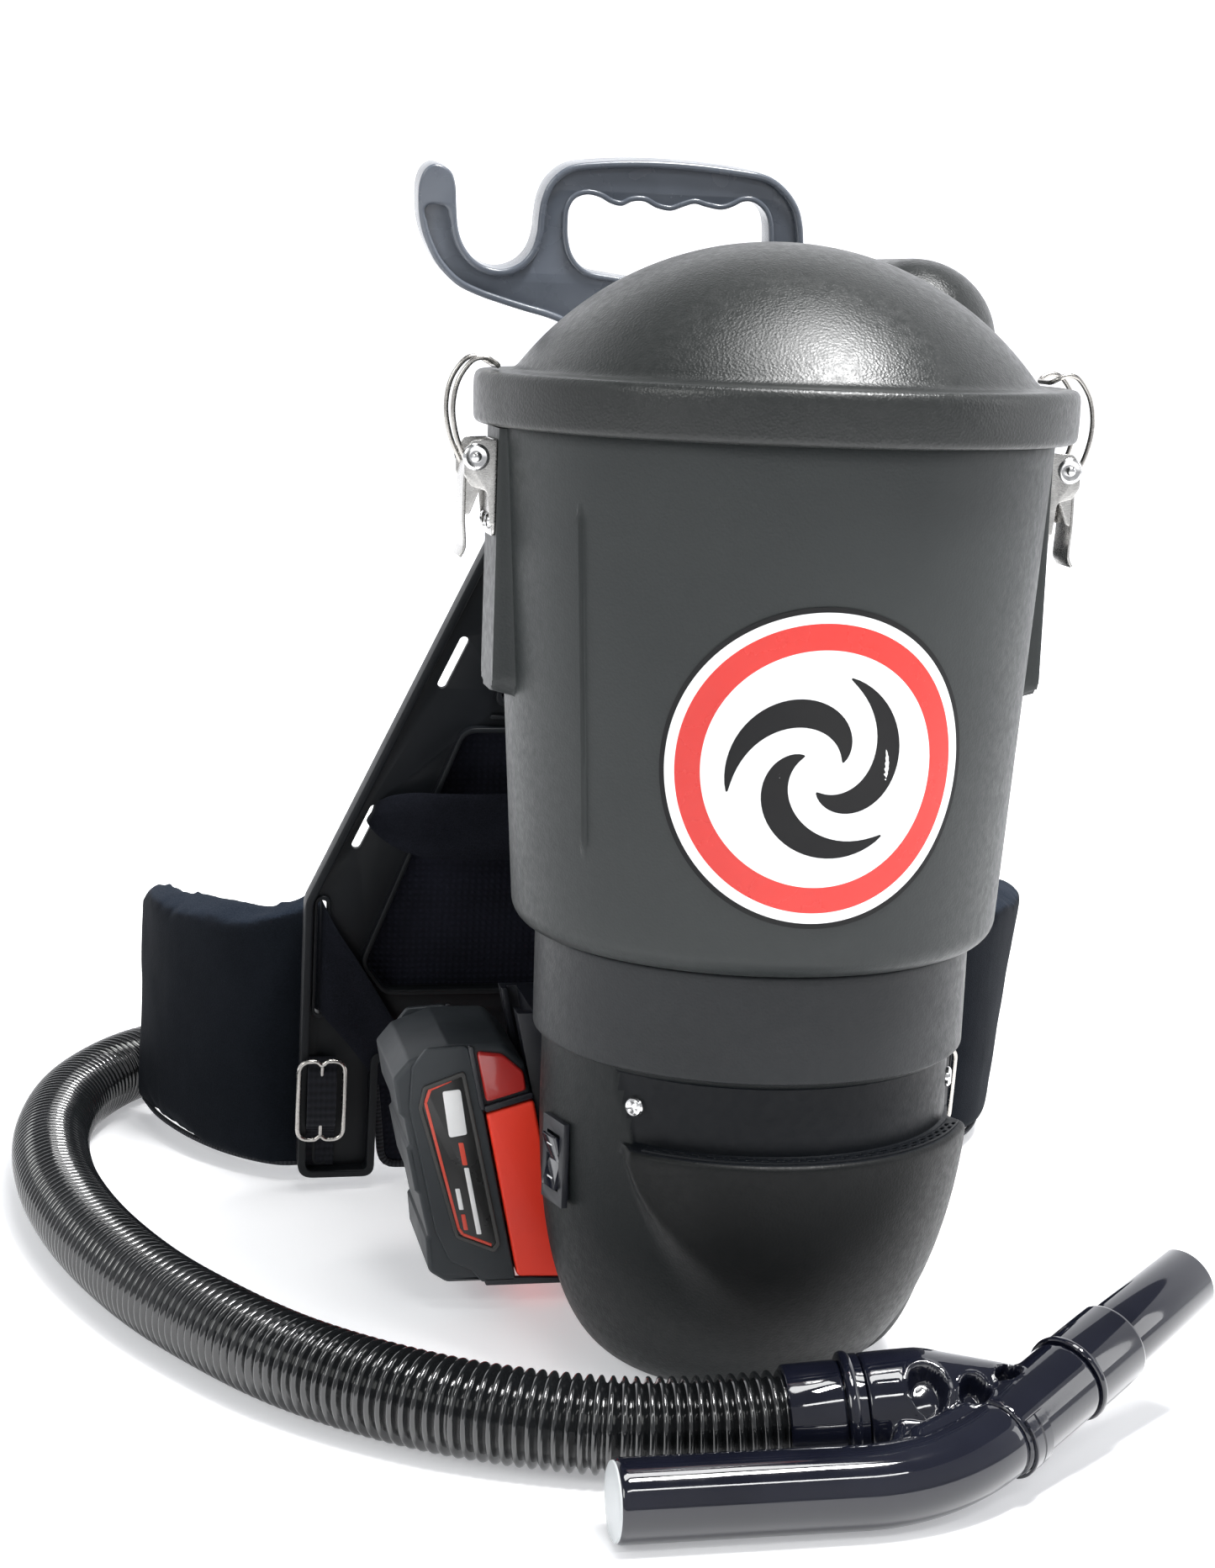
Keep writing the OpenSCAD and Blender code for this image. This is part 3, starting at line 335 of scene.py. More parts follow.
MAT = {
    "shell": grained_shell("shell", (0.0195, 0.0225, 0.023), (0.028, 0.0315, 0.0315), 0.42, shine=0.3),
    "lid": grained_shell("lid_shell", (0.0125, 0.014, 0.014), (0.0185, 0.020, 0.0195), 0.33, depth=0.00022,
                         strength=0.7,
                         shine=0.44),
    "cover": grained_shell("cover_shell", (0.007, 0.0085, 0.009), (0.011, 0.013, 0.0135), 0.44, shine=0.18,
                           deep=True),
    "sleeve": grained_shell("sleeve_shell", (0.012, 0.0135, 0.015), (0.018, 0.020, 0.022), 0.42, shine=0.26),
    "recess": grained_shell("recess_shell", (0.0025, 0.0035, 0.005), (0.005, 0.006, 0.008), 0.45,
                            strength=0.35, shine=0.16),
    "satin": moulded("satin_black", (0.007, 0.008, 0.012), (0.013, 0.014, 0.019), 0.34),
    "gloss": moulded("gloss_black", (0.004, 0.005, 0.010), (0.010, 0.011, 0.020), 0.09, ripple=0.08,
                     Coat_Weight=0.5, Coat_Roughness=0.05),
    "hand": moulded("hand_black", (0.0025, 0.003, 0.007), (0.007, 0.008, 0.015), 0.06, ripple=0.05,
                    Coat_Weight=0.5, Coat_Roughness=0.03, Specular_IOR_Level=0.45),
    "hose": moulded("hose_black", (0.004, 0.0045, 0.005), (0.009, 0.010, 0.011), 0.14, ripple=0.02,
                    Coat_Weight=0.8, Coat_Roughness=0.06),
    "rubbery": moulded("pack_rubber", (0.014, 0.018, 0.022), (0.022, 0.027, 0.031), 0.5),
    "red": moulded("pack_red", (0.95, 0.042, 0.018), (1.0, 0.055, 0.024), 0.4),
    "red_gloss": moulded("button_red", (0.36, 0.018, 0.016), (0.46, 0.03, 0.024), 0.2, Coat_Weight=0.4),
    "steel": metal("zinc_steel", (0.60, 0.59, 0.57), 0.24, (1, 1, 6)),
    "wire": metal("nickel_wire", (0.55, 0.53, 0.50), 0.2),
    "bright": metal("screw_steel", (0.78, 0.78, 0.78), 0.16),
    # the pad fabric carries painted top light on its upward faces
    "fabric": felted("pad_fabric", (0.0018, 0.0028, 0.0046), (0.0060, 0.0078, 0.0112), upper=True),
    "mesh": woven("spacer_mesh", (0.0022, 0.0028, 0.0062), (0.0075, 0.0085, 0.016), 0.0018, strength=0.7),
    "webbing": ribbed_webbing("webbing", (0.0025, 0.003, 0.005), (0.009, 0.010, 0.014)),
    "binding": ribbed_webbing("edge_binding", (0.008, 0.009, 0.011), (0.030, 0.031, 0.036), 0.0012),
    "cap": moulded("cap_grey", (0.42, 0.44, 0.45), (0.50, 0.52, 0.53), 0.5),
    "badge_white": moulded("badge_white", (0.82, 0.82, 0.82), (0.88, 0.88, 0.88), 0.22, ripple=0.02),
    "badge_red": moulded("badge_red", (0.56, 0.022, 0.016), (0.62, 0.030, 0.022), 0.26, ripple=0.02),
    "badge_black": moulded("badge_black", (0.008, 0.008, 0.009), (0.014, 0.014, 0.014), 0.5, ripple=0.02,
                           Specular_IOR_Level=0.2),
    "label_rim": moulded("label_rim", (0.022, 0.022, 0.021), (0.05, 0.048, 0.046), 0.4),
    "label": moulded("label_black", (0.012, 0.012, 0.012), (0.018, 0.018, 0.018), 0.3, ripple=0.02),
    "label_red": moulded("label_red", (0.66, 0.06, 0.035), (0.72, 0.08, 0.045), 0.3, ripple=0.02),
    "frame": moulded("frame_black", (0.004, 0.005, 0.006), (0.007, 0.008, 0.010), 0.45,
                     Specular_IOR_Level=0.18),
    "handle": moulded("handle_black", (0.066, 0.076, 0.094), (0.115, 0.128, 0.152), 0.24, ripple=0.22,
                      scratch=0.06, Coat_Weight=0.35, Coat_Roughness=0.12),
    "foam": woven("filter_foam", (0.42, 0.42, 0.40), (0.6, 0.6, 0.57), 0.0016),
    "bag": woven("bag_cloth", (0.36, 0.36, 0.34), (0.52, 0.52, 0.49), 0.0012),
    "board": moulded("board_green", (0.02, 0.12, 0.05), (0.03, 0.16, 0.07), 0.3),
    "strap_cloth": felted("strap_cloth", (0.0028, 0.0034, 0.0055), (0.010, 0.011, 0.016)),
}

# ---- mesh helpers ---------------------------------------------------------------


def add_object(name, verts, faces, material, angle=35.0):
    mesh = bpy.data.meshes.new(name)
    mesh.from_pydata([tuple(v) for v in verts], [], faces)
    return add_mesh(name, mesh, material, angle)


def add_mesh(name, mesh, material, angle=35.0):
    piece = bpy.data.objects.new(name, mesh)
    scene.collection.objects.link(piece)
    if material is not None:
        mesh.materials.clear()
        mesh.materials.append(MAT[material] if isinstance(material, str) else material)
    smooth(piece, angle)
    return piece


def smooth(piece, angle=35.0):
    mesh = piece.data
    mesh.polygons.foreach_set("use_smooth", [True] * len(mesh.polygons))
    mesh.set_sharp_from_angle(angle=radians(angle))
    mesh.update()


def baked(piece, angle=None):
    """Applies the piece's modifiers."""
    graph = bpy.context.evaluated_depsgraph_get()
    mesh = bpy.data.meshes.new_from_object(piece.evaluated_get(graph))
    piece.modifiers.clear()
    old, piece.data = piece.data, mesh
    mesh.name = piece.name
    bpy.data.meshes.remove(old)
    if angle is not None:
        smooth(piece, angle)
    return piece


def placed(piece, nodes=(), body="machine"):
    """Rides the piece on its body, and hides the CAD nodes it stands for."""
    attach(piece, body)
    if nodes:
        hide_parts(*nodes)
    return piece


def joined(name, pieces):
    """One object out of several."""
    bm = bmesh.new()
    materials = []
    for p in pieces:
        mesh = p.data.copy()
        mesh.transform(p.matrix_world)
        shift = []
        for m in p.data.materials:
            if m not in materials:
                materials.append(m)
            shift.append(materials.index(m))
        for poly in mesh.polygons:
            poly.material_index = shift[poly.material_index] if shift else 0
        bm.from_mesh(mesh)
        bpy.data.meshes.remove(mesh)
    mesh = bpy.data.meshes.new(name)
    bm.to_mesh(mesh)
    bm.free()
    for p in pieces:
        bpy.data.objects.remove(p)
    for m in materials:
        mesh.materials.append(m)
    piece = bpy.data.objects.new(name, mesh)
    scene.collection.objects.link(piece)
    return piece


def grid_faces(rows, columns, wrap_columns=True, wrap_rows=False):
    faces = []
    for i in range(rows if wrap_rows else rows - 1):
        a, b = i * columns, ((i + 1) % rows) * columns
        for j in range(columns if wrap_columns else columns - 1):
            k = (j + 1) % columns
            faces.append((a + j, a + k, b + k, b + j))
    return faces


def tube_faces(rows, count):
    """Faces of a closed tube of rings, with both ends capped."""
    caps = [tuple(range(count)), tuple(reversed(range((rows - 1) * count, rows * count)))]
    return grid_faces(rows, count) + caps


def shell_faces(rows, columns):
    """Faces of two equal grids of points, one behind the other, joined round their rims."""
    half = rows * columns
    faces = []
    for i in range(rows - 1):
        for j in range(columns - 1):
            k = i * columns + j
            m = k + half
            faces.append((k, k + 1, k + columns + 1, k + columns))
            faces.append((m, m + columns, m + columns + 1, m + 1))
    rim = [*range(columns)] + [i * columns + columns - 1 for i in range(1, rows)]
    rim += [(rows - 1) * columns + j for j in range(columns - 2, -1, -1)]
    rim += [i * columns for i in range(rows - 2, 0, -1)]
    return faces + [(q, p, p + half, q + half) for p, q in zip(rim, rim[1:] + rim[:1])]


def lathe(name, profile, material, columns=160, angle=35.0, close=False):
    """A closed or open (radius, height) profile in mm, turned round the vertical axis."""
    verts = [(x, y, z * MM) for r, z in profile for x, y in ring(max(r, 0.01) * MM, columns)]
    faces = [tuple(reversed(f)) for f in grid_faces(len(profile), columns, True, close)]
    piece = add_object(name, verts, faces, material, angle)
    return outward(piece)


def outward(piece, angle=None):
    """Merges doubled points and turns every face outwards."""
    bm = bmesh.new()
    bm.from_mesh(piece.data)
    bmesh.ops.remove_doubles(bm, verts=bm.verts, dist=MERGE)
    bmesh.ops.recalc_face_normals(bm, faces=bm.faces)
    bm.to_mesh(piece.data)
    bm.free()
    if angle is not None:
        smooth(piece, angle)
    return piece


def modifier(piece, kind, **settings):
    """Adds a modifier with the settings given."""
    made = piece.modifiers.new(kind.lower(), kind)
    for key, value in settings.items():
        setattr(made, key, value)
    return made


def thickened(piece, thickness, angle):
    """Gives an open sheet its thickness in mm, half of it on each side."""
    modifier(piece, "SOLIDIFY", thickness=thickness * MM, offset=0.0)
    return outward(baked(piece, angle))


def fused(name, pieces, material, voxel, passes):
    """Joins overlapping solids into one skin with soft inside corners."""
    piece = joined(name, pieces)
    modifier(piece, "REMESH", mode="VOXEL", voxel_size=voxel * MM, use_smooth_shade=True)
    modifier(piece, "SMOOTH", factor=0.5, iterations=passes)
    baked(piece)
    piece.data.materials.clear()
    piece.data.materials.append(MAT[material])
    smooth(piece, 50)
    return piece


def frames_along(path, side):
    """Tangent, side and normal at each point, carried along without twist."""
    made, v = [], Vector(side)
    for i in range(len(path)):
        t = (path[min(i + 1, len(path) - 1)] - path[max(i - 1, 0)]).normalized()
        v = (v - t * v.dot(t)).normalized()
        made.append((t, v, t.cross(v)))
    return made


def sweep(name, path, section, material, side=(0, 0, 1), scales=None, angle=35.0, closed=False):
    """A closed cross-section, (side, normal) in metres, carried along a path, with a weave UV in metres."""
    count = len(section)
    verts, frames = [], frames_along(path, side)
    for i, (p, (_, v, n)) in enumerate(zip(path, frames)):
        k = scales[i] if scales else 1.0
        kx, ky = k if isinstance(k, tuple) else (k, k)
        for x, y in section:
            verts.append(p + v * x * kx + n * y * ky)
    faces = grid_faces(len(path), count, True, True) if closed else tube_faces(len(path), count)
    piece = add_object(name, verts, faces, material, angle)
    add_weave_uv(piece.data, path, section, count)
    bm = bmesh.new()
    bm.from_mesh(piece.data)
    bmesh.ops.recalc_face_normals(bm, faces=bm.faces)
    bm.to_mesh(piece.data)
    bm.free()
    return piece


def add_weave_uv(mesh, path, section, count):
    gone = [0.0]
    for a, b in zip(path, path[1:]):
        gone.append(gone[-1] + (b - a).length)
    layer = mesh.uv_layers.new(name="weave")
    for loop in mesh.loops:
        i, j = divmod(loop.vertex_index, count)
        layer.data[loop.index].uv = (gone[min(i, len(gone) - 1)], section[j][0])


def ring(radius, count):
    return [(radius * cos(tau * k / count), radius * sin(tau * k / count)) for k in range(count)]


def rounded_bar(width, depth, radius):
    """Cross-section in metres of a flat bar with round corners, from its size in mm."""
    hw, hd = width / 2, depth / 2
    corners = [(hw, -hd), (hw, hd), (-hw, hd), (-hw, -hd)]
    return [(p.x * MM, p.y * MM) for p in rounded(corners, min(radius, hd * 0.98), 4)]


def plate(name, outlines, front, back, material, place=None, bevel=0.6, steps=3, angle=40.0):
    """A flat part: closed outlines in mm, holes inside them, from depth -back to front, edges rounded."""
    curve = bpy.data.curves.new(name, "CURVE")
    curve.dimensions = "2D"
    curve.fill_mode = "BOTH"
    for points in outlines:
        line = curve.splines.new("POLY")
        line.points.add(len(points) - 1)
        for q, p in zip(line.points, points):
            q.co = (p[0] * MM, p[1] * MM, 0, 1)
        line.use_cyclic_u = True
    curve.extrude = (front + back) / 2 * MM - bevel * MM
    curve.bevel_depth = bevel * MM
    curve.bevel_resolution = steps
    curve.offset = -bevel * MM
    maker = bpy.data.objects.new(name, curve)
    scene.collection.objects.link(maker)
    graph = bpy.context.evaluated_depsgraph_get()
    mesh = bpy.data.meshes.new_from_object(maker.evaluated_get(graph))
    bpy.data.objects.remove(maker)
    mesh.transform(moved(0, 0, (front - back) / 2))
    if place is not None:
        mesh.transform(place)
    piece = add_mesh(name, mesh, material, angle)
    return outward(piece, angle)


def refined(node, material, bevel, steps, body="machine"):
    """A CAD node's own shape with its edges rounded and its flat faces merged."""
    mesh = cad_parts[node].data.copy()
    piece = add_mesh(node + "_skin", mesh, material)
    bm = bmesh.new()
    bm.from_mesh(mesh)
    bmesh.ops.remove_doubles(bm, verts=bm.verts, dist=MERGE)
    bmesh.ops.dissolve_limit(bm, angle_limit=radians(2), verts=bm.verts, edges=bm.edges)
    bm.to_mesh(mesh)
    bm.free()
    modifier(piece, "BEVEL", width=bevel * MM, segments=steps, limit_method="ANGLE",
             angle_limit=radians(30), use_clamp_overlap=True)
    baked(piece, 35)
    return placed(piece, [node], body)


def turned_x(name, profile, material, place, columns=72, angle=35.0):
    """A (along, radius) profile in mm, turned round the local X axis and put in place."""
    verts = [(x * MM, y, z) for x, r in profile for y, z in ring(max(r, 0.01) * MM, columns)]
    piece = add_object(name, verts, grid_faces(len(profile), columns), material, angle)
    piece.data.transform(place)
    return outward(piece, angle)


# ---- floor and light ------------------------------------------------------------


def stage_sheet(name, profile, material):
    """A round sheet about the Z axis, from its profile of radius and height."""
    turns = 72
    verts = [(x, y, z) for r, z in profile for x, y in ring(r, turns)]
    sheet = add_object(name, verts, grid_faces(len(profile), turns), material, 60)
    return sheet


def pale_stage(name, color, glow, reach):
    """Pale matt paint that glows more the further it lies behind the object."""
    s = Shader(name, color, 0.55)
    s.set("Base Color", s.tint(s.ramp(s.noise(1.6, 4), 0, 1, 0.4, 0.7), color, [0.97 * c for c in color]))
    away = Vector((-CAMERA_BACK.x, -CAMERA_BACK.y, 0)).normalized()
    depth = s.node("ShaderNodeVectorMath", {0: s.coords, 1: away}, operation="DOT_PRODUCT").outputs["Value"]
    s.bsdf.inputs["Emission Color"].default_value = (0.96, 0.97, 1.0, 1)
    s.set("Emission Strength", s.ramp(depth, *glow, *reach))
    return s.material


STAGE_R, STAGE_BEND, STAGE_TOP, STAGE_DROP = 4.4, 0.6, 5.0, 0.0005


def add_floor():
    """A pale floor that curves up into a plain wall all round, far outside every camera."""
    floor = pale_stage("pale_floor", (0.88, 0.88, 0.885), (0.34, 0.95), (0.5, 1.5))
    wall = pale_stage("pale_wall", (0.45, 0.45, 0.455), (0.15, 0.95), (-1.5, 2.0))
    bend = [(STAGE_R + STAGE_BEND * sin(radians(t)), STAGE_BEND - STAGE_BEND * cos(radians(t)) - STAGE_DROP)
            for t in range(0, 91, 10)]
    stage_sheet("floor", [(0.0001, -STAGE_DROP), (STAGE_R, -STAGE_DROP)], floor)
    stage_sheet("backdrop", bend + [(STAGE_R + STAGE_BEND, STAGE_TOP)], wall)


def area_light(name, at, look, size, power, color=(1, 1, 1)):
    data = bpy.data.lights.new(name, "AREA")
    data.shape = "RECTANGLE"
    data.size, data.size_y = size
    data.energy = power
    data.color = color
    light = bpy.data.objects.new(name, data)
    light.location = at
    light.rotation_euler = (Vector(look) - Vector(at)).to_track_quat("-Z", "Y").to_euler()
    scene.collection.objects.link(light)


def add_light():
    world = bpy.data.worlds.new("studio")
    world.use_nodes = True
    back = world.node_tree.nodes["Background"]
    back.inputs["Color"].default_value = (0.95, 0.97, 1.0, 1)
    back.inputs["Strength"].default_value = 0.2
    scene.world = world
    area_light("ceiling", (0.1, -0.15, 2.2), (0, 0, 0.2), (1.1, 0.5), 22)
    area_light("lamp", (0.44, -0.52, 2.1), (0, 0, 0.4), (0.66, 0.2), 58)
    area_light("front_strip", (0.45, -1.7, 1.9), (0, 0, 0.25), (1.3, 0.14), 10)
    area_light("left_window", (-1.9, -1.5, 1.5), (-0.05, 0, 0.15), (0.7, 0.9), 17, (0.98, 1.0, 0.97))
    area_light("right_fill", (2.2, -0.5, 1.0), (0, 0, 0.3), (0.5, 1.2), 6)
    scene.view_settings.view_transform = "Standard"


add_floor()
add_light()

# ---- hose -----------------------------------------------------------------------

HOSE_ROUTE = [Vector(p) for p in (
    (0.080, 0.182, 0.483), (0.080, 0.240, 0.482), (0.080, 0.325, 0.462), (0.080, 0.392, 0.405),
    (0.080, 0.428, 0.320), (0.077, 0.442, 0.230), (0.062, 0.450, 0.140), (0.018, 0.455, 0.070),
    (-0.055, 0.460, 0.031), (-0.140, 0.463, 0.022), (-0.215, 0.459, 0.022), (-0.268, 0.440, 0.022),
    (-0.307, 0.376, 0.022), (-0.323, 0.300, 0.022), (-0.322, 0.221, 0.022), (-0.309, 0.147, 0.022),
    (-0.287, 0.077, 0.022), (-0.259, 0.017, 0.022), (-0.215, -0.050, 0.022), (-0.159, -0.101, 0.022),
    (-0.097, -0.131, 0.022), (-0.050, -0.139, 0.0225), (-0.014, -0.142, 0.025))]
HOSE_D = 0.043
HOSE_PITCH = 0.00535


def make_hose():
    """A corrugated tube: narrow round ridges on a smaller core."""
    steps = 8
    line = evenly(spline(HOSE_ROUTE, 24), HOSE_PITCH / steps)
    ridge = [1.0, 0.988, 0.945, 0.872, 0.842, 0.872, 0.945, 0.988]
    scales = [ridge[i % steps] for i in range(len(line))]
    section = ring(HOSE_D / 2 - 0.0001, 40)
    tube = sweep("hose_tube", line, section, "hose", (0, 0, 1), scales, 80)
    placed(tube, ["hose"])
    evenly(line, 0.01)


make_hose()

# ---- canister -------------------------------------------------------------------

RIM_R, RIM_Z, RIM_H = 137.5, 442.0, 24.0
RIM_TOP = RIM_Z + RIM_H
TUB_R, FOOT_R, TUB_Z, FOOT_ARC = 127.5, 113.5, 211.5, 12.0
SLEEVE_R, SLEEVE_Z = 101.8, 162.0
COVER_R, LEDGE_R, LEDGE_Z = 97.0, 106.7, 126.6
PAD_X, PAD_HALF, PAD_LOW = 129.5, 18.0, 322.0
SCOOP_FROM, SCOOP_TO = -136.0, -22.0


def tub_radius(z):
    return FOOT_R + (TUB_R - FOOT_R) * (z - TUB_Z - FOOT_ARC) / (RIM_Z - TUB_Z - FOOT_ARC)


def pad_cover(azimuth, z):
    """1 inside the flat latch pad at azimuth 0 or 180, 0 outside, with a soft edge."""
    a = radians(azimuth)
    if abs(cos(a)) < 0.8:
        return 0.0
    across = abs(PAD_X * tan(a))
    low = PAD_LOW + 8
    if z < low:
        d = hypot(max(across - (PAD_HALF - 8), 0), low - z) - 8
    else:
        d = across - PAD_HALF
    return 1 - smooth_step(-1.6, 1.4, d)


def tub_surface(azimuth, z):
    """Radius of the tub's outside: the taper, the two latch pads and the thin ridge."""
    r = tub_radius(z)
    flat = PAD_X / max(abs(cos(radians(azimuth))), 0.5)
    r = mix(r, max(r, flat), pad_cover(azimuth, z))
    across = (azimuth + 145) * radians(1) * r
    ridge = (1 - smooth_step(0.8, 1.9, abs(across))) * smooth_step(258, 266,
                                                                   z) * (1 - smooth_step(404, 412, z))
    return r + 2.2 * ridge


def azimuths(count, sharp=()):
    """Angles all round, closer together near the sharp ones."""
    base = {round(-180 + 360 * i / count, 3) for i in range(count)}
    for centre, reach, step in sharp:
        n = int(reach / step)
        base |= {round((centre + k * step + 180) % 360 - 180, 3) for k in range(-n, n + 1)}
    return sorted(base)


def polar_piece(name, angles, rows, material, angle=35.0):
    """A shell whose (radius, height) rows, in mm, are given for every azimuth."""
    columns = len(angles)
    profiles = [rows(a) for a in angles]
    verts = []
    for i in range(len(profiles[0])):
        for a, rz in zip(angles, profiles):
            c, s = cos(radians(a)), sin(radians(a))
            r, z = max(rz[i][0], 0.02), rz[i][1]
            verts.append((r * c * MM, r * s * MM, z * MM))
    piece = add_object(name, verts, grid_faces(len(profiles[0]), columns), material, angle)
    return outward(piece, angle)


def make_tub():
    angles = azimuths(180, [(-171.0, 3.5, 0.25), (171.0, 3.5, 0.25), (-9.0, 3.5, 0.25),
                            (9.0, 3.5, 0.25), (-145.0, 2.0, 0.2)])
    foot = [(FOOT_R - FOOT_ARC + FOOT_ARC * sin(radians(t)),
             TUB_Z + FOOT_ARC - FOOT_ARC * cos(radians(t))) for t in range(0, 90, 9)]
    heights = [TUB_Z + FOOT_ARC + 2.5 * k for k in range(int((440.5 - TUB_Z - FOOT_ARC) / 2.5))] + [441.0]

    def rows(a):
        wall = [(tub_surface(a, z), z) for z in heights]
        mouth = [(TUB_R - 0.5, 442.0), (TUB_R - 0.5, 446.0), (TUB_R - 1.2, 446.8), (TUB_R - 2.4, 446.8),
                 (TUB_R - 3.0, 446.0), (tub_radius(300) - 3.2, 300.0), (FOOT_R - 3.5, 224.0),
                 (FOOT_R - 10, 216.0),
                 (32.5, 215.0), (32.0, 211.6)]
        return [(32.0, 211.6)] + foot + wall + mouth

    placed(polar_piece("dust_tub", angles, rows, "shell"), ["tub"])


def make_sleeve():
    profile = rounded([(34, 207.5), (34, 211.3), (SLEEVE_R, 211.3), (SLEEVE_R, 207.0),
                       (SLEEVE_R - 0.3, 164.0),
                      (SLEEVE_R - 0.4, 162.0), (SLEEVE_R - 3.4, 162.0), (SLEEVE_R - 3.8, 207.5)],
                     [0, 0.5, 2.0, 2, 1.5, 0.9, 0.6, 1.0], 5)
    placed(lathe("motor_sleeve", profile, "sleeve", 192, 30, True), ["motor_housing"])


def side_profile():
    low = bezier((COVER_R, 130), (COVER_R, 60), (86, 0), (46, 0), 40)
    return [Vector((p[0], max(p[1], 0.0))) for p in low]


def scoop_profile():
    return bezier((LEDGE_R, 121.5), (102, 66), (80, 6), (46, 0), 40)


def scoop_share(azimuth, z):
    """1 on the scoop, 0 on the plain cover; the left edge runs forward as it goes down."""
    left = mix(-93.0, -136.0, smooth_step(14, 132, z) ** 0.8)
    soft = mix(11.0, 4.0, smooth_step(30, 118, z))
    rise = smooth_step(left - soft, left + soft, azimuth)
    return rise * (1 - smooth_step(SCOOP_TO - 5.5, SCOOP_TO + 0.5, azimuth))


def band_share(azimuth, z):
    """1 inside the dark recessed band above the ledge, whose left end slants."""
    left = mix(SCOOP_FROM + 1.0, SCOOP_FROM - 5.5, smooth_step(LEDGE_Z, SLEEVE_Z, z))
    return smooth_step(left - 0.8, left + 0.8, azimuth) * (1 - smooth_step(SCOOP_TO + 6.2, SCOOP_TO + 7.8,
                                                                           azimuth))


def make_cover():
    """The motor cover: plain at the back and left, a recessed band and an overhanging scoop in front."""
    angles = azimuths(200, [(-136.0, 9.0, 0.4), (-24.0, 5.0, 0.3)])
    plain, scoop = side_profile(), scoop_profile()
    lip = arc2((LEDGE_R - 3.0, LEDGE_Z - 3.0), 3.0, 90, 8, 8)

    def rows(a):
        edge = scoop_share(a, 124)
        made = [(COVER_R - 4, 166), (COVER_R - 3.6, 167.4), (COVER_R - 1.7, 167.4)]
        for z in (164, 160, 159.0, 158.2, 157.4, 150, 144, 138, 133, 131, 129.6, 128.4):
            deep = band_share(a, z) * smooth_step(160.0, 158.0, z) * 1.6
            made.append((COVER_R - deep, z))
        floor_r = mix(COVER_R, COVER_R + 0.6, edge)
        made.append((mix(COVER_R, COVER_R - 1.5, band_share(a, 128)), mix(127.8, LEDGE_Z + 0.9, edge)))
        made.append((mix(COVER_R, floor_r, edge), mix(127.0, LEDGE_Z, edge)))
        made.append((mix(COVER_R, COVER_R + 3, edge), mix(126.4, LEDGE_Z - 0.1, edge)))
        for k, q in enumerate(lip):
            made.append((mix(COVER_R, q[0], edge), mix(126.0 - 0.5 * k, q[1], edge)))
        for p, q in zip(plain, scoop):
            z = mix(p[1], q[1], 0.5)
            t = scoop_share(a, z)
            made.append((mix(p[0], q[0], t), mix(min(p[1], 121.5), q[1], t)))
        made += [(44, 0.0), (30, 0.4), (0.02, 0.4), (0.02, 3.2), (44, 3.2), (84, 40), (COVER_R - 4, 130)]
        return made

    piece = polar_piece("motor_cover", angles, rows, "cover", 40)
    piece.data.materials.append(MAT["recess"])
    for poly in piece.data.polygons:
        c = poly.center / MM
        azimuth = degrees(atan2(c.y, c.x))
        in_band = LEDGE_Z - 0.5 < c.z < 158.6 and band_share(azimuth, c.z) > 0.5
        if in_band and hypot(c.x, c.y) > COVER_R - 3:
            poly.material_index = 1
    deep = piece.data.attributes.new("deep", "FLOAT", "POINT")
    for v in piece.data.vertices:
        p = v.co / MM
        if p.z < LEDGE_Z + 0.6:
            deep.data[v.index].value = scoop_share(degrees(atan2(p.y, p.x)), p.z)
    placed(piece, ["base_cover"])


def make_vent():
    """The ledge's vent strip: two rows of short slots right through it."""
    slots = 26
    inner, outer = COVER_R + 0.9, LEDGE_R - 2.9
    edges = [inner, inner + 1.3, inner + 2.9, inner + 3.9, inner + 5.3, outer]
    start, span = SCOOP_FROM + 6, SCOOP_TO - SCOOP_FROM - 12
    cuts = []
    for i in range(slots * 4 + 1):
        cuts.append(start + span * i / (slots * 4))
    bm = bmesh.new()
    grid = [[bm.verts.new((r * MM * cos(radians(a)), r * MM * sin(radians(a)),
                           (LEDGE_Z + 0.35) * MM)) for a in cuts] for r in edges]
    for i in range(len(edges) - 1):
        for j in range(len(cuts) - 1):
            open_here = (i == 1 and j % 4 in (1, 2)) or (i == 3 and j % 4 in (3, 0))
            if not (open_here and 2 < j < len(cuts) - 4):
                bm.faces.new((grid[i][j], grid[i][j + 1], grid[i + 1][j + 1], grid[i + 1][j]))
    mesh = bpy.data.meshes.new("vent_strip")
    bm.to_mesh(mesh)
    bm.free()
    piece = add_mesh("vent_strip", mesh, "recess", 30)
    modifier(piece, "SOLIDIFY", thickness=1.6 * MM, offset=0.0)
    modifier(piece, "BEVEL", width=0.25 * MM, segments=2, limit_method="ANGLE")
    outward(baked(piece, 35))
    placed(piece, ["exhaust_grille"])


def screw_head(name, at, out, radius=4.7):
    """A pan-head screw with a sunk cross, its axis along out."""
    count = 48
    rings_at = [(0.02, 1.1), (1.1, 1.1), (1.5, 2.2), (2.9, 2.3), (3.9, 1.9), (4.6, 1.0), (4.7, 0.2),
                (4.7, -1.0), (0.02, -1.0)]
    verts = []
    for r, h in rings_at:
        for k in range(count):
            a = tau * k / count
            across = min(abs(cos(a)), abs(sin(a))) * r
            sunk = r < 2.8 and across < 0.62
            verts.append((r / 4.7 * radius * cos(a) * MM, r / 4.7 * radius * sin(a) * MM,
                          (h if h < 1.5 else (1.1 if sunk else h)) * MM))
    piece = add_object(name, verts, grid_faces(len(rings_at), count), "bright", 25)
    turn = Vector(out).to_track_quat("Z", "X").to_matrix().to_4x4()
    piece.data.transform(moved(*at) @ turn)
    return outward(piece, 25)


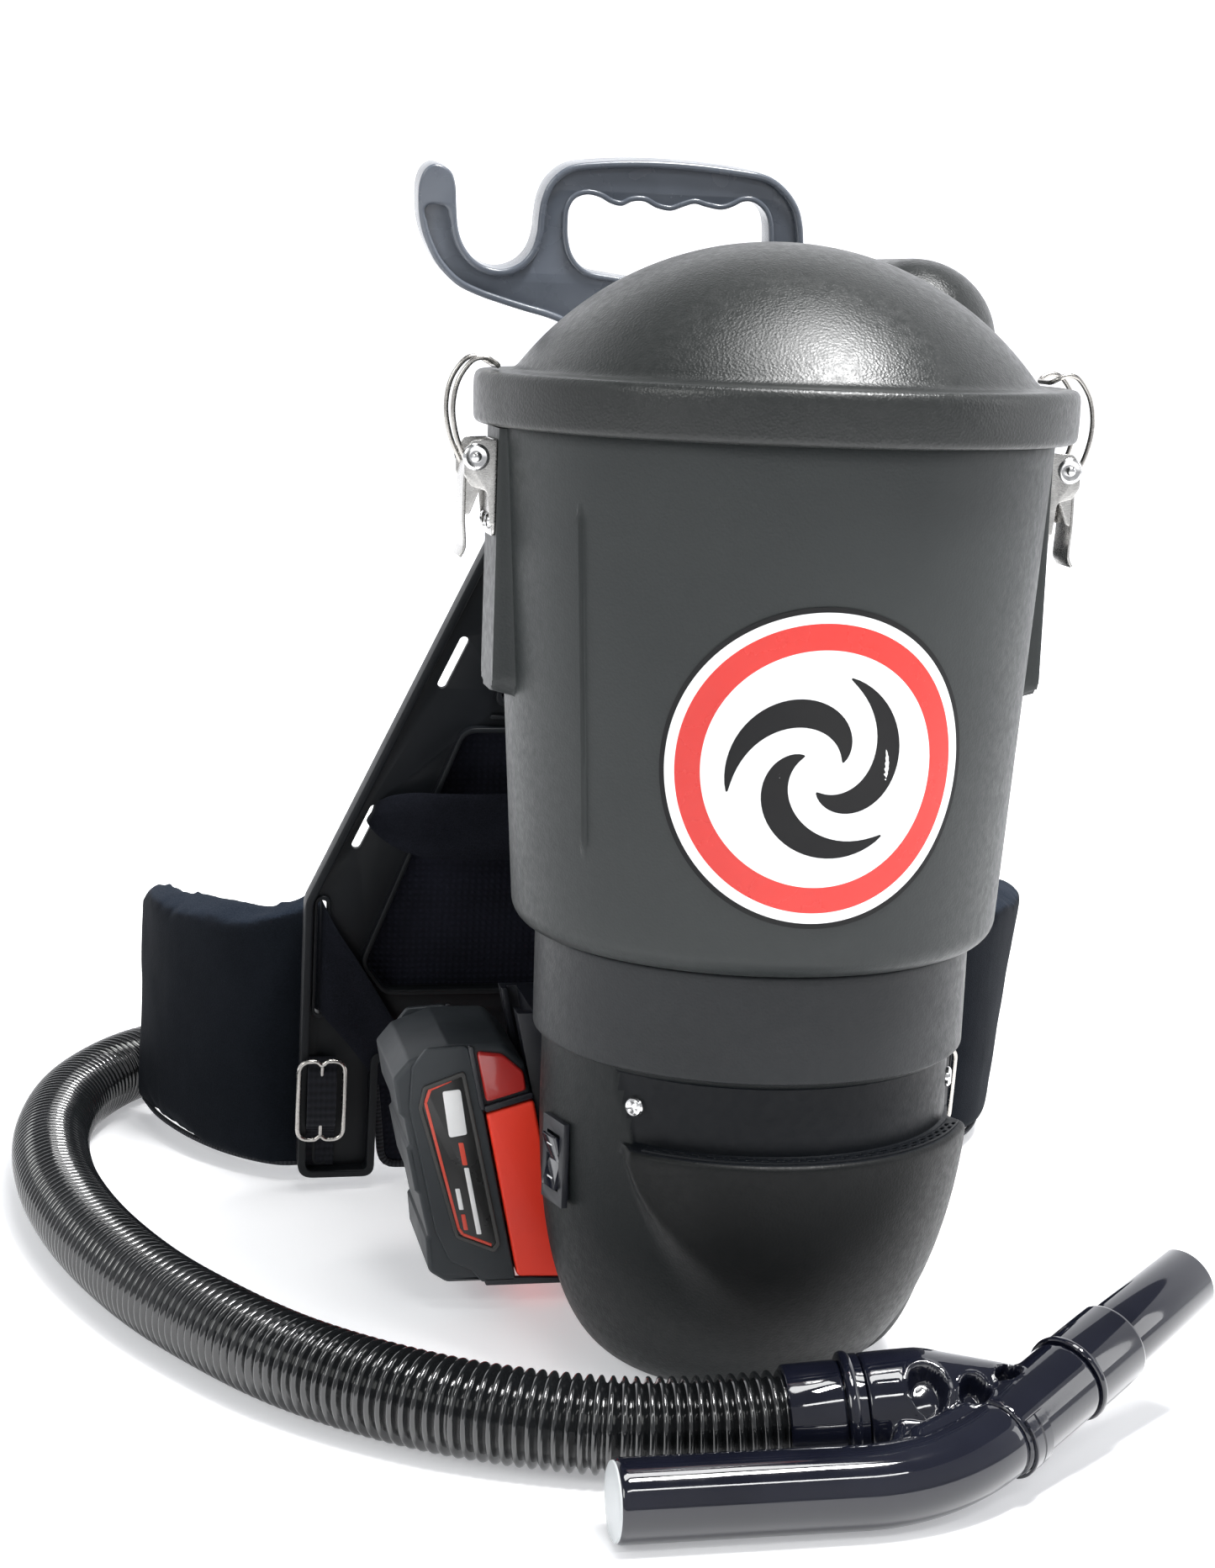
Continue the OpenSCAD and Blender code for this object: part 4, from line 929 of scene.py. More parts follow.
def make_cover_screws():
    heads = []
    for k, (azimuth, r) in enumerate([(-135, 95.7), (-20, 95.7), (40, 97.2), (140, 97.2)]):
        a = radians(azimuth)
        out = (cos(a), sin(a), 0)
        heads.append(screw_head(f"cover_screw_{k}", (out[0] * r, out[1] * r, 144), out))
    placed(joined("cover_screw_heads", heads), ["cover_screws"])


def make_lid():
    """Rim band, dome and inlet housing, blended into one moulding."""
    shoulder, rise = 119.5, 61.0
    dome_r = (shoulder ** 2 + rise ** 2) / (2 * rise)
    dome_c = RIM_TOP + rise - dome_r
    start = degrees(asin((RIM_TOP - dome_c) / dome_r))
    dome = arc2((0, dome_c), dome_r, start, 90, 46)
    inner = arc2((0, dome_c), dome_r - 3, 90, start + 1.6, 30)
    band = fillet([(131.6, 452.0), (131.6, 442.4), (134.6, 441.8), (RIM_R - 0.4, 443.5), (RIM_R, 452),
                   (RIM_R, 462),
                   (RIM_R - 1.0, RIM_TOP - 0.2), (124.0, RIM_TOP + 0.2), (shoulder + 0.5, RIM_TOP + 0.6)],
                  [0, 0.5, 1.5, 2, 3, 3, 4.5, 2.5, 2.0], False, 6)
    profile = band + [Vector(p) for p in dome[1:]] + [Vector(p) for p in inner] + [Vector((116.5, 452.0))]
    lid = lathe("lid_dome", profile, "lid", 220, 40, True)

    port = Vector((80, 132, 483)) * MM
    radius, front = 40, 52
    rings_at = [(front - radius * cos(radians(t)), radius * sin(radians(t)))
                for t in range(0, 91, 6)]
    rings_at = [(front - radius + 0.01, 0.02)] + rings_at[1:] + [(y, radius) for y in (70, 90, 110, 126)]
    rings_at += [(130.2, 39.4), (131.6, 38.0), (132.0, 36.0), (132.0, 24.3), (118.0, 24.3), (118.0, 0.02)]
    place = Matrix.Translation((port.x, 0, port.z)) @ turned(90, "Z")
    bump = turned_x("inlet_housing", rings_at, "lid", place, 96, 40)
    for v in bump.data.vertices:
        if v.co.z < 0.4485:
            v.co.z = 0.4485
    outward(bump)
    both = fused("lid_shell", [lid, bump], "lid", 1.15, 8)
    placed(both, ["lid"])

    collar = [(132.1, 24.4), (132.1, 33.2), (133.2, 33.6), (135.6, 31.6), (136.8, 30.4), (137.1, 29.2),
              (137.1, 25.4), (136.6, 24.6), (132.1, 24.4)]
    placed(turned_x("inlet_collar_ring", collar, "satin", place, 96, 30), ["inlet_collar"])
    cuff = [(118, 19.2), (118, 23.8), (137.6, 23.8), (137.9, 26.2), (138.6, 26.9), (145.2, 26.9),
            (146.0, 26.1),
            (146.3, 24.2), (150, 23.6), (176, 23.2), (179.6, 23.0), (181.2, 22.2), (181.6, 21.0),
            (181.4, 19.4), (118, 19.2)]
    placed(turned_x("hose_cuff_top", cuff, "gloss", place, 96, 35), ["hose_cuff_lid"])


def make_badge():
    """A round printed plate, bent to the tub: white, with a red ring and a plain whirl."""
    centre_z, turn = 306.0, radians(-92.0)
    sides = 192
    rows_at = [(0.0, 0), (9, 0), (18, 0), (30, 0), (42, 0), (51.2, 0), (51.6, 1), (53.5, 1), (58, 1),
               (62.6, 1), (63.0, 0),
               (67.2, 0), (67.6, 2), (69.2, 2), (69.9, 2)]

    def on_tub(x, y, lift):
        a = turn + x / (tub_radius(centre_z + y) + 0.2)
        r = (tub_radius(centre_z + y) + lift) * MM
        return Vector((r * cos(a), r * sin(a), (centre_z + y) * MM))

    def disc(name, material_rows, lift):
        verts = [on_tub(x, y, lift) for r, _ in material_rows for x, y in ring(r, sides)]
        faces = grid_faces(len(material_rows), sides)
        piece = add_object(name, verts, faces, None, 60)
        for key in ("badge_white", "badge_red", "badge_black"):
            piece.data.materials.append(MAT[key])
        for poly in piece.data.polygons:
            (r, mark), (r_out, mark_out) = material_rows[poly.index // sides:][:2]
            poly.material_index = mark_out if r_out - r > 0.5 else mark
        return piece

    plate_piece = disc("badge_plate", rows_at, 0.42)
    outward(plate_piece)
    thickened(plate_piece, 0.42, 60)
    placed(plate_piece, ["badge"])

    blades = []
    for arm in range(3):
        verts, faces, steps = [], [], 36
        for i in range(steps + 1):
            t = i / steps
            a = radians(120 * arm + 20 + 175 * t)
            middle = 10 + 31 * t
            half = 0.4 + 6.2 * sin(pi * t) ** 0.8
            for side in (-1, 1):
                r = middle + side * half
                verts.append(on_tub(r * cos(a), r * sin(a), 0.72))
        faces = [(2 * i, 2 * i + 2, 2 * i + 3, 2 * i + 1) for i in range(steps)]
        blade = add_object(f"whirl_{arm}", verts, faces, "badge_black", 60)
        blades.append(thickened(blade, 0.08, 60))
    placed(joined("badge_whirl", blades))


make_tub()
make_sleeve()
make_cover()
make_vent()
make_cover_screws()
make_lid()
make_badge()

# ---- latches ----------------------------------------------------------------------

LATCH_X, LATCH_Z = 139.0, 428.0
BAIL_X, BAIL_Z = 140.0, 420.0


def flip_x(piece, side):
    """Mirrors a piece built on the right onto the left."""
    if side < 0:
        piece.data.transform(Matrix.Scale(-1, 4, (1, 0, 0)))
        piece.data.flip_normals()
    return piece


def facing_y(y):
    """Plane x, z with its depth towards -Y, at the given y."""
    return moved(0, y, 0) @ turned(90, "X")


def ear(name, y):
    """Upright side plate of the bracket with its dished boss."""
    x0 = PAD_X + 0.2
    outline = rounded([(x0, 398), (x0 + 2.4, 398), (x0 + 4.0, 413), (LATCH_X + 2, 415), (LATCH_X + 5.2, 420),
                      (LATCH_X + 5.4, 430), (LATCH_X + 1.5, 435.6), (x0, 436)], [0.6, 1, 3, 2, 3, 4, 4, 1])
    return plate(name, [outline], 0.75, 0.75, "steel", facing_y(y), 0.3, 2)


def boss(name, y, out):
    """Dished boss and rivet head on the outside of an ear."""
    profile = [(-1.0, 6.0), (0.2, 6.0), (0.9, 5.3), (1.1, 4.6), (0.7, 3.5), (0.55, 2.6), (1.6, 2.4),
               (2.3, 1.9), (2.7, 1.0), (2.8, 0.02)]
    place = moved(LATCH_X, y + 0.75 * out, LATCH_Z)
    place = place @ turned(90 * out, "Z")
    return turned_x(name, profile, "bright", place, 48, 30)


def cross_pin(name, x, z, radius, half, material):
    """A round pin along Y, its middle at x, z."""
    profile = [(-half, 0.02), (-half, radius), (half, radius), (half, 0.02)]
    return turned_x(name, profile, material, moved(x, 0, z) @ turned(90, "Z"), 32)


def make_latch(side):
    word = SIDE_WORD[side]
    base = rounded([(-13.5, 393), (13.5, 393), (13.5, 436), (-13.5, 436)], 3.0)
    parts = [plate("base", [base], PAD_X + 1.6, -PAD_X - 0.1, "steel", SWAP_AXES, 0.35, 2)]
    for y, out in ((-13.25, -1), (13.25, 1)):
        parts += [ear("ear", y), boss("boss", y, out)]
    parts.append(cross_pin("pin", LATCH_X, LATCH_Z, 2.2, 15.5, "bright"))
    for y in (-7.0, 7.0):
        parts.append(screw_head("bracket_screw", (PAD_X + 1.4, y, 399.5), (1, 0, 0), 3.6))
    bracket = flip_x(joined(f"latch_bracket_{word}_plate", parts), side)
    smooth(bracket, 35)
    placed(bracket, [f"latch_bracket_{word}"])

    blade = [Vector((x, 0, z)) * MM for x, z in
             ((140.2, 426.5), (142.2, 424.6), (143.0, 420), (143.3, 412), (143.2, 400), (142.6, 390),
              (142.9, 386.4),
              (144.6, 383.2))]
    section = rounded_bar(19.0, 1.5, 0.7)
    parts = [sweep("blade", spline(blade, 6), section, "steel", (0, 1, 0))]
    cheek = rounded([(142.6, 425), (142.6, 402), (140.6, 402.4), (136.2, 414), (135.6, 427), (138.2, 431.4),
                    (141.2, 430.6)], [1, 1, 2, 2, 3, 2.5, 2], 5)
    for y in (-8.7, 8.7):
        parts.append(plate("cheek", [cheek], 0.7, 0.7, "steel", facing_y(y), 0.3, 2))
    for x, z, r in ((LATCH_X, LATCH_Z, 3.6), (BAIL_X, BAIL_Z, 2.4)):
        parts.append(cross_pin("barrel", x, z, r, 8.3, "steel"))
    lever = flip_x(joined(f"latch_lever_{word}_plate", parts), side)
    smooth(lever, 35)
    placed(lever, [f"latch_lever_{word}"], f"lever_{word}")

    half = [(BAIL_X, 9.6, BAIL_Z), (142.2, 11.0, 424.5), (147.4, 11, 436), (149.6, 11, 449),
            (147.6, 11, 461.0),
            (141.8, 11, 469.8), (136, 11, 471.6), (131.4, 10.2, 469.6), (129.4, 7.5, 468.2),
            (129.2, 3, 468.1)]
    path = [Vector(p) * MM for p in half] + [Vector((x, -y, z)) * MM for x, y, z in reversed(half)]
    line = evenly(spline([Vector((BAIL_X, 8.6, BAIL_Z)) * MM] + path + [Vector((BAIL_X, -8.6, BAIL_Z)) * MM],
                         14),
                  0.0012)
    wire = flip_x(sweep(f"bail_{word}_wire", line, ring(1.15 * MM, 20), "wire", (0, 1, 0), None, 60), side)
    smooth(wire, 60)
    placed(wire, [f"bail_{word}"], f"wire_{word}")


# ---- switch, carrier and dock -------------------------------------------------------


def make_switch():
    refined("switch_bezel", "satin", 0.9, 4)
    refined("switch_rocker", "gloss", 0.55, 4, "rocker")
    turn = turned(-165, "Z") @ Matrix.Translation((0.0975, 0, 0.106))
    for name, z, x, lean in (("rocker_mark_top", 8.4, 4.0, -15.7), ("rocker_mark_low", -8.0, 3.45, 14.9)):
        bar = rounded([(-2.6, -0.55), (2.6, -0.55), (2.6, 0.55), (-2.6, 0.55)], 0.4, 4)
        place = turn @ moved(x, 0, z) @ turned(lean, "Y") \
            @ SWAP_AXES
        mark = plate(name, [bar], 0.2, 0.2, "badge_white", place, 0.05, 1)
        placed(mark, body="rocker")


# ---- battery -------------------------------------------------------------------------

PACK_LEAN = tan(radians(12))


def in_pack(y):
    """Plane (across, up) of the leaning pack, its depth towards -Y from the given y."""
    return Matrix(((1, -PACK_LEAN, 0, PACK_LEAN * 14 * MM), (0, 0, -1, y * MM), (0, 1, 0, 0), (0, 0, 0, 1)))


def make_battery():
    case = [(-139, 20), (-137.2, 37), (-135.8, 38.6), (-136.2, 60), (-137.8, 62), (-137.8, 84), (-136.0, 86),
            (-136.0, 99), (-138, 102), (-136.6, 124), (-127, 134.5), (-106, 142.2), (-78, 142.2), (-70, 132),
            (-70, 109.2),
            (-95.7, 102.2), (-95.7, 14), (-131, 14)]
    radii = [5, 1, 1, 1, 1, 1, 1, 1.5, 2, 5, 6, 6, 6, 3, 1, 1.2, 0.6, 6]
    body = plate("case_core", [rounded(case, radii)], 37.5, 37.5, "rubbery", in_pack(100), 2.4, 8)
    for v in body.data.vertices:
        rise = smooth_step(96 * MM, 138 * MM, v.co.z)
        v.co.z -= rise * 6.5 * MM * (abs(v.co.y - 0.1) / 0.0375) ** 2.2
    panel = [(-131.5, 42), (-127.5, 26), (-117.5, 21), (-113.5, 14.6), (-96.4, 14.6), (-96.4, 101),
             (-97.8, 136.8),
             (-118.6, 135.4), (-127.5, 126), (-132.6, 106)]
    loop = rounded(panel, [5, 4, 2, 2, 1, 1.5, 3, 5, 5, 6])
    parts = [body]
    for y, out in ((62.6, 1), (137.4, -1)):
        parts.append(plate("panel", [loop], *(2.4, 1.0)[::out], "rubbery", in_pack(y), 0.8, 4))
    window = [(-122.4, 38.5), (-104.4, 30.4), (-100.6, 34.6), (-101.8, 124.4), (-124.0, 116.6), (-128.2, 106)]
    radii = [3, 2, 2, 2, 3, 4]
    for y, out in ((60.0, 1), (140.0, -1)):
        outer = rounded(window, radii)
        inner = rounded(shifted(window, 2.1), [max(r - 1.4, 0.6) for r in radii])
        depths = (1.3, 1.5)[::out]
        parts.append(plate("label_rim", [outer, inner], *depths, "label_rim", in_pack(y), 0.45, 3))
    for y in (60.6, 139.4):
        bar = rounded([(-95.6, 102.4), (-70.2, 109.4), (-70.2, 112.6), (-95.6, 105.6)], 1.2, 4)
        parts.append(plate("divider", [bar], 1.0, 1.4, "satin", in_pack(y), 0.6, 3))
        hood = rounded([(-98.0, 104), (-98.0, 136.6), (-95.2, 136.6), (-95.2, 104)], 1.2, 4)
        parts.append(plate("button_rib", [hood], 1.0, 1.4, "satin", in_pack(y), 0.5, 3))
    for y in (61.6, 138.4):
        lip = rounded([(-112, 12.6), (-70, 12.6), (-70, 15.6), (-90, 16.6), (-112, 16.4)], 1.0, 4)
        parts.append(plate("bottom_lip", [lip], 1.4, 1.4, "satin", in_pack(y), 0.6, 3))
    placed(joined("pack_case", parts), ["battery_case"], "battery")

    red = rounded([(-95.2, 16.6), (-70, 15.6), (-70, 108.2), (-95.2, 101.4)], [2.5, 2, 2, 2.5])
    shell = plate("shell_core", [red], 39.6, 39.6, "red", in_pack(100), 1.8, 6)
    neck = plate("shell_neck", [[(-71, 30), (-65.6, 30), (-65.6, 106), (-71, 106)]], 18, 18, "satin",
                 in_pack(100), 0.4, 2)
    rail = plate("shell_rail", [[(-66, 30), (-61.4, 30), (-61.4, 106), (-66, 106)]], 24, 24, "satin",
                 in_pack(100), 0.4, 2)
    placed(joined("pack_shell", [shell, neck, rail]), ["battery_shell"], "battery")

    prints = []
    for y in (59.95, 140.05):
        inner = rounded(shifted(window, 1.8), [2, 1, 1, 1, 2, 3])
        prints.append(plate("label_face", [inner], 0.35, 0.35, "label", in_pack(y), 0.1, 1))
        patch = rounded([(-115.9, 90.3), (-106.7, 91.8), (-105.7, 115.0), (-114.8, 114.0)], 1.4, 5)
        prints.append(plate("label_patch", [patch], 0.6, 0.6, "badge_white", in_pack(y), 0.1, 1))
        line = [Vector(p) for p in ((-109.6, 119.6), (-120.6, 115.3), (-124.2, 108.6), (-120.0, 43.4),
                                    (-118.4, 40.2),
                                    (-105.2, 34.2))]
        for a, b in zip(line, line[1:]):
            across = Vector((a.y - b.y, b.x - a.x)).normalized() * 0.75
            prints.append(plate("red_line", [[a + across, a - across, b - across, b + across]], 0.62, 0.62,
                                "label_red", in_pack(y), 0.08, 1))
        for z0, z1, s0, s1, tone in ((76, 87.6, -111.9, -109.4, "label_red"),
                                     (40, 74.6, -111.5, -109.1, "badge_white"),
                                     (53, 64, -117.9, -115.6, "badge_white"),
                                     (42.4, 50.6, -117.5, -115.4, "label_red")):
            bar = rounded([(s0, z0), (s1, z0), (s1, z1), (s0, z1)], 0.5, 3)
            prints.append(plate("label_bar", [bar], 0.62, 0.62, tone, in_pack(y), 0.08, 1))
    placed(joined("pack_label", prints), ["battery_label"], "battery")

    press = rounded([(-94.2, 107.6), (-73.0, 113.6), (-72.6, 123.0), (-81.2, 132.0), (-94.2, 133.6)],
                   [2.2, 2.2, 4.5, 5.5, 2.2], 7)
    for name, y in (("button_front", 61.6), ("button_rear", 138.4)):
        cap = plate(name + "_cap", [press], 2.2, 2.2, "red_gloss", in_pack(y), 1.5, 6, 60)
        placed(cap, [name], name.replace("button", "release"))


def shifted(points, inset):
    """A counter-clockwise outline with every edge moved inwards (outwards when negative)."""
    made, total = [], len(points)
    for i in range(total):
        a, b, c = Vector(points[i - 1]), Vector(points[i]), Vector(points[(i + 1) % total])
        if (b - a).length < 1e-6 or (c - b).length < 1e-6:
            continue
        e, f = (b - a).normalized(), (c - b).normalized()
        q, r = b + inset * Vector((-e.y, e.x)), b + inset * Vector((-f.y, f.x))
        turn = e.x * f.y - e.y * f.x
        if abs(turn) < 1e-4:
            made.append(q)
            continue
        d = r - q
        made.append(q + e * (d.x * f.y - d.y * f.x) / turn)
    return made


def clockwise(points):
    area = sum(a[0] * b[1] - b[0] * a[1] for a, b in zip(points, list(points[1:]) + [points[0]]))
    return area < 0


# ---- back frame ------------------------------------------------------------------------

FRAME_LEAN = radians(7.8)
FRAME_FOOT = Vector((0, 262, 12 * sin(FRAME_LEAN))) * MM
ON_FRAME = Matrix.Translation(FRAME_FOOT) @ Matrix.Rotation(FRAME_LEAN, 4, "X")
IN_FRAME = ON_FRAME @ turned(90, "X")
FRAME_HALF = [(146, 78), (146, 7), (189, 7), (189, 172), (94, 383), (46, 490)]
LOWER_WINDOW = [(48, 119), (143, 119), (155, 135), (105, 268), (48, 268)]
UPPER_WINDOW = [(48, 285), (89, 285), (71, 330), (48, 330)]
SLOTS = [((113, 306), 114.2, 26), ((157, 213), 114.2, 22), ((179, 138), 90, 62), ((176.5, 44.5), 90, 56)]


def mirrored(points):
    return [(-p[0], p[1]) for p in reversed(points)]


def stadium(centre, angle, length, width):
    a = radians(angle)
    u = Vector((cos(a), sin(a)))
    made = []
    for end, start in ((1, angle - 90), (-1, angle + 90)):
        middle = Vector(centre) + u * end * length / 2
        made += arc2(middle, width / 2, start, start + 180, 8)
    return made


def frame_outline(inset, radii):
    edge = FRAME_HALF + mirrored(FRAME_HALF)
    return rounded(shifted(edge, inset), radii + list(reversed(radii)), 8)


def make_frame():
    holes = [rounded(w, r) for w, r in ((LOWER_WINDOW, 9), (UPPER_WINDOW, 6))]
    holes += [stadium(*s, 5.0) for s in SLOTS]
    holes += [mirrored(h) for h in holes]
    for x, z in ((35, 168), (18, 376), (18, 452), (18, 474)):
        holes += [arc2((x, z), 3.1, 0, 345, 23), arc2((-x, z), 3.1, 0, 345, 23)]
    outer = [3, 7, 9, 16, 30, 8]
    parts = [plate("frame_plate", [frame_outline(1.0, outer)] + holes, 4, 0, "frame", IN_FRAME, 0.5, 2)]
    parts.append(plate("frame_rim", [frame_outline(0, outer), frame_outline(4.4, [6, 3, 5, 13, 28, 5])], 12,
                       0,
                       "frame", IN_FRAME, 1.0, 4))
    rims = [("window_rim", [rounded(shifted(w, -2.8), r + 2.6), rounded(w, r)], 9, 0.8)
            for w, r in ((LOWER_WINDOW, 9), (UPPER_WINDOW, 6))]
    rims += [("slot_rim", [stadium(c, a, length + 1, 9.0), stadium(c, a, length, 5.0)], 6.2, 0.6)
             for c, a, length in SLOTS[2:]]
    for name, loops, high, edge in rims:
        for both in (loops, [mirrored(q) for q in loops]):
            parts.append(plate(name, both, high, 0, "frame", IN_FRAME, edge, 3))
    bar = rounded([(-92, 275.3), (92, 275.3), (92, 277.7), (-92, 277.7)], 1.0, 3)
    parts.append(plate("cross_rib", [bar], 7.5, 0, "frame", IN_FRAME, 0.6, 3))
    piece = joined("harness_frame", parts)
    smooth(piece, 40)
    placed(piece, ["back_frame"])
    for node in ("frame_bolts", "handle_bolts"):
        refined(node, "bright", 0.5, 3)
    for node, bevel in (("carrier", 1.4), ("upper_bracket", 1.2), ("battery_dock", 1.2)):
        refined(node, "satin", bevel, 4)


def offset_loop(points, inset):
    """A smooth dense loop moved inwards along its own normals."""
    sign = -1 if clockwise(points) else 1
    total, made = len(points), []
    for i in range(total):
        t = (Vector(points[(i + 1) % total]) - Vector(points[i - 1])).normalized()
        made.append(Vector(points[i]) + sign * inset * Vector((-t.y, t.x)))
    return made


def smooth_loop(points, steps, gap):
    """A closed smooth loop through points given in mm, evenly divided."""
    p = [Vector((x, y, 0)) for x, y in points]
    line = spline(p[-2:] + p + p[:3], steps)
    line = line[2 * steps:(len(p) + 2) * steps + 1]
    even = evenly(line, gap)[:-1]
    return [q.to_2d() for q in even]


HANDLE_EDGE = [
    (-135.7, 568.6), (-141.2, 566.0), (-144.0, 559.0), (-144.2, 549.0), (-142.8, 539.0), (-139.5, 529.4),
    (-133.2, 518.6),
    (-123.4, 509.4), (-112.0, 504.2), (-100.4, 500.6), (-88.0, 497.2), (-76.6, 494.4), (-66.0, 490.5),
    (-54.0, 483.5),
    (-43.5, 474), (-38.6, 462), (-38, 448), (-37.6, 430), (-35, 425), (-28, 424), (0, 424), (28, 424),
    (35, 425),
    (37.6, 430), (38, 448), (38.8, 466), (43, 482), (49.5, 497), (54.5, 512), (56.4, 526), (55.8, 538),
    (54.4, 547),
    (51.6, 555), (46, 562.4), (38.4, 568.2), (29.4, 571.2), (11.4, 573.2), (-5.5, 574.4), (-23.6, 574.8),
    (-40.1, 574.3),
    (-55.2, 573.0), (-66.0, 571.4), (-73.2, 567.8), (-78.9, 561.5), (-82.0, 553.4), (-83.1, 545.0),
    (-83.6, 536.4),
    (-86.0, 528.0), (-91.0, 521.8), (-98.0, 518.4), (-105.8, 518.3), (-114.0, 521.8), (-120.3, 529.0),
    (-123.6, 537.6),
    (-125.0, 549.0), (-125.8, 558.4), (-128.6, 565.4)]
HANDLE_HOLE = [
    (-41.9, 516.2), (-54.2, 518.0), (-60.6, 521.6), (-65.0, 527.6), (-67.2, 535.6), (-67.7, 543.4),
    (-67.3, 549.4),
    (-64.4, 554.3), (-58.6, 556.5), (-52.0, 555.4), (-46.3, 552.6), (-40.4, 551.6), (-35.0, 554.0),
    (-28.8, 554.2),
    (-22.6, 551.4), (-15.0, 550.2), (-8.6, 552.4), (-2.7, 554.2), (3.2, 552.9), (11.4, 551.8), (17.6, 553.7),
    (22.6, 556.3),
    (28.0, 556.2), (33.2, 552.8), (36.2, 547.4), (37.6, 538), (37.8, 528), (35.4, 520.5), (28, 515.6),
    (12, 513.6),
    (-12, 513.6), (-28, 514.6)]


def make_handle():
    edge = smooth_loop(HANDLE_EDGE, 8, 1.6)
    hole = smooth_loop(HANDLE_HOLE, 8, 1.3)
    inner = []
    for q in offset_loop(edge, 3.6):
        if q.x < -112 and q.y > 541:
            q = Vector((q.x, 541 + (q.y - 541) * 0.32))
        inner.append(q)
    round_hole = offset_loop(hole, -2.8)
    bolts = [arc2((x, z), 3.1, 0, 345, 23) for x in (-18, 18) for z in (452, 474)]
    parts = [plate("web", [offset_loop(edge, 1.2), offset_loop(hole, -1.0)] + bolts, 20.6, -7.8, "handle",
                   IN_FRAME, 0.4, 2, 50)]
    parts.append(plate("edge_rim", [edge, inner], 24.2, -4.3, "handle", IN_FRAME, 1.45, 6, 60))
    parts.append(plate("hole_rim", [round_hole, hole], 22.6, -6.0, "handle", IN_FRAME, 1.1, 5, 60))
    piece = joined("hand_hook", parts)
    smooth(piece, 50)
    placed(piece, ["carry_handle"])


def make_slide(side):
    """A wire buckle whose loop dips in at the middle of its top and bottom, round a centre bar."""
    loop = rounded([(-12.7, -23.7), (12.7, -23.7), (12.7, 23.7), (-12.7, 23.7)], 7.0, 10)
    dense = evenly([Vector((*p, 0)) for p in loop + [loop[0]]], 0.7)[:-1]
    line = []
    for q in dense:
        dip = 2.3 * exp(-(q.x / 1.9) ** 2) if abs(q.y) > 21 else 0.0
        line.append(Vector((q.x, q.y - copysign(dip, q.y), 0)) * MM)
    wire = sweep("loop", line, ring(1.3 * MM, 16), "wire", (0, 0, 1), None, 60, True)
    bar = sweep("bar", [Vector((0, y, 0)) * MM for y in (-22.0, -10, 0, 10, 22.0)], ring(1.15 * MM, 16),
                "wire", (0, 0, 1))
    word = SIDE_WORD[side]
    piece = joined(f"slide_{word}_wire", [wire, bar])
    piece.data.transform(IN_FRAME @ moved(177.3, 56, 14.6))
    smooth(flip_x(piece, side), 60)
    placed(piece, [f"wire_slide_{word}"])


def make_inside():
    """Parts that only show when the machine is opened."""
    for node, material, bevel, slot, steps, body in (
            ("lid_gasket", "rubbery", 0.6, "seal_rubber", 2, "machine"),
            ("bag_ring", "satin", 0.6, "black_moulding", 2, "machine"),
            ("motor", "steel", 0.8, "motor_steel", 2, "machine"),
            ("impeller", "steel", 0.2, "motor_steel", 1, "fan"),
            ("motor_filter", "foam", 1.2, "filter_foam", 3, "machine"),
            ("circuit_board", "board", 0.2, "board_green", 1, "machine")):
        refined(node, material, bevel, steps, body)
    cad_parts["dust_bag"].data.materials.clear()
    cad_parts["dust_bag"].data.materials.append(MAT["bag"])


for latch_side in (1, -1):
    make_latch(latch_side)
    make_slide(latch_side)
make_switch()
make_battery()
make_frame()
make_handle()
make_inside()

# ---- soft parts -------------------------------------------------------------------------


CLOTH_VOXEL, CLOTH_PRESSURE = 0.005, 4.0
SETTLE = 20              # frames of cloth simulation


def puffed(piece, cap):
    """Swells a closed soft piece by cloth simulation; no point moves further than the cap."""
    modifier(piece, "REMESH", mode="VOXEL", voxel_size=CLOTH_VOXEL)
    baked(piece)
    start = [v.co.copy() for v in piece.data.vertices]
    cloth = modifier(piece, "CLOTH")
    cloth.settings.quality = 5
    cloth.settings.use_pressure = True
    cloth.settings.uniform_pressure_force = CLOTH_PRESSURE
    cloth.settings.effector_weights.gravity = 0.0
    cloth.point_cache.frame_start = 1
    cloth.point_cache.frame_end = SETTLE
    for k in range(1, SETTLE + 1):
        scene.frame_set(k)
    baked(piece)
    for v, a in zip(piece.data.vertices, start):
        way = v.co - a
        if way.length > cap:
            v.co = a + way * (cap / way.length)
    scene.frame_set(1)
    modifier(piece, "SUBSURF", levels=1, render_levels=1)
    return baked(piece, 180)


def rippled(piece, size, depth, seed):
    """Small soft creases over a fabric piece."""
    shift = Vector((seed, -seed, 2 * seed))
    normals = [v.normal.copy() for v in piece.data.vertices]
    for v, n in zip(piece.data.vertices, normals):
        p = v.co / size + shift
        v.co += n * depth * (noise.noise(p) + 0.5 * noise.noise(p * 2.1))
    return piece


def along(points, t):
    """The place a share t of the way along a line of points."""
    x = min(max(t, 0.0), 1.0) * (len(points) - 1)
    i = min(int(x), len(points) - 2)
    return points[i].lerp(points[i + 1], x - i)


PAD_OUT = spline([Vector(p) for p in ((171, 268.5), (184, 266.8), (202, 269), (226, 290), (248, 323),
                                      (264, 360),
                                      (272, 396))], 8)
PAD_IN = spline([Vector(p) for p in ((170, 287), (180, 286.5), (192, 287.5), (212, 307), (233, 338),
                                     (248, 370),
                                     (256, 400))], 8)


PAD_CORNER, PAD_INSET = 3.0, 1.2


def pad_low(t):
    return 7.0 + 2.0 * smooth_step(0.5, 1.0, t)


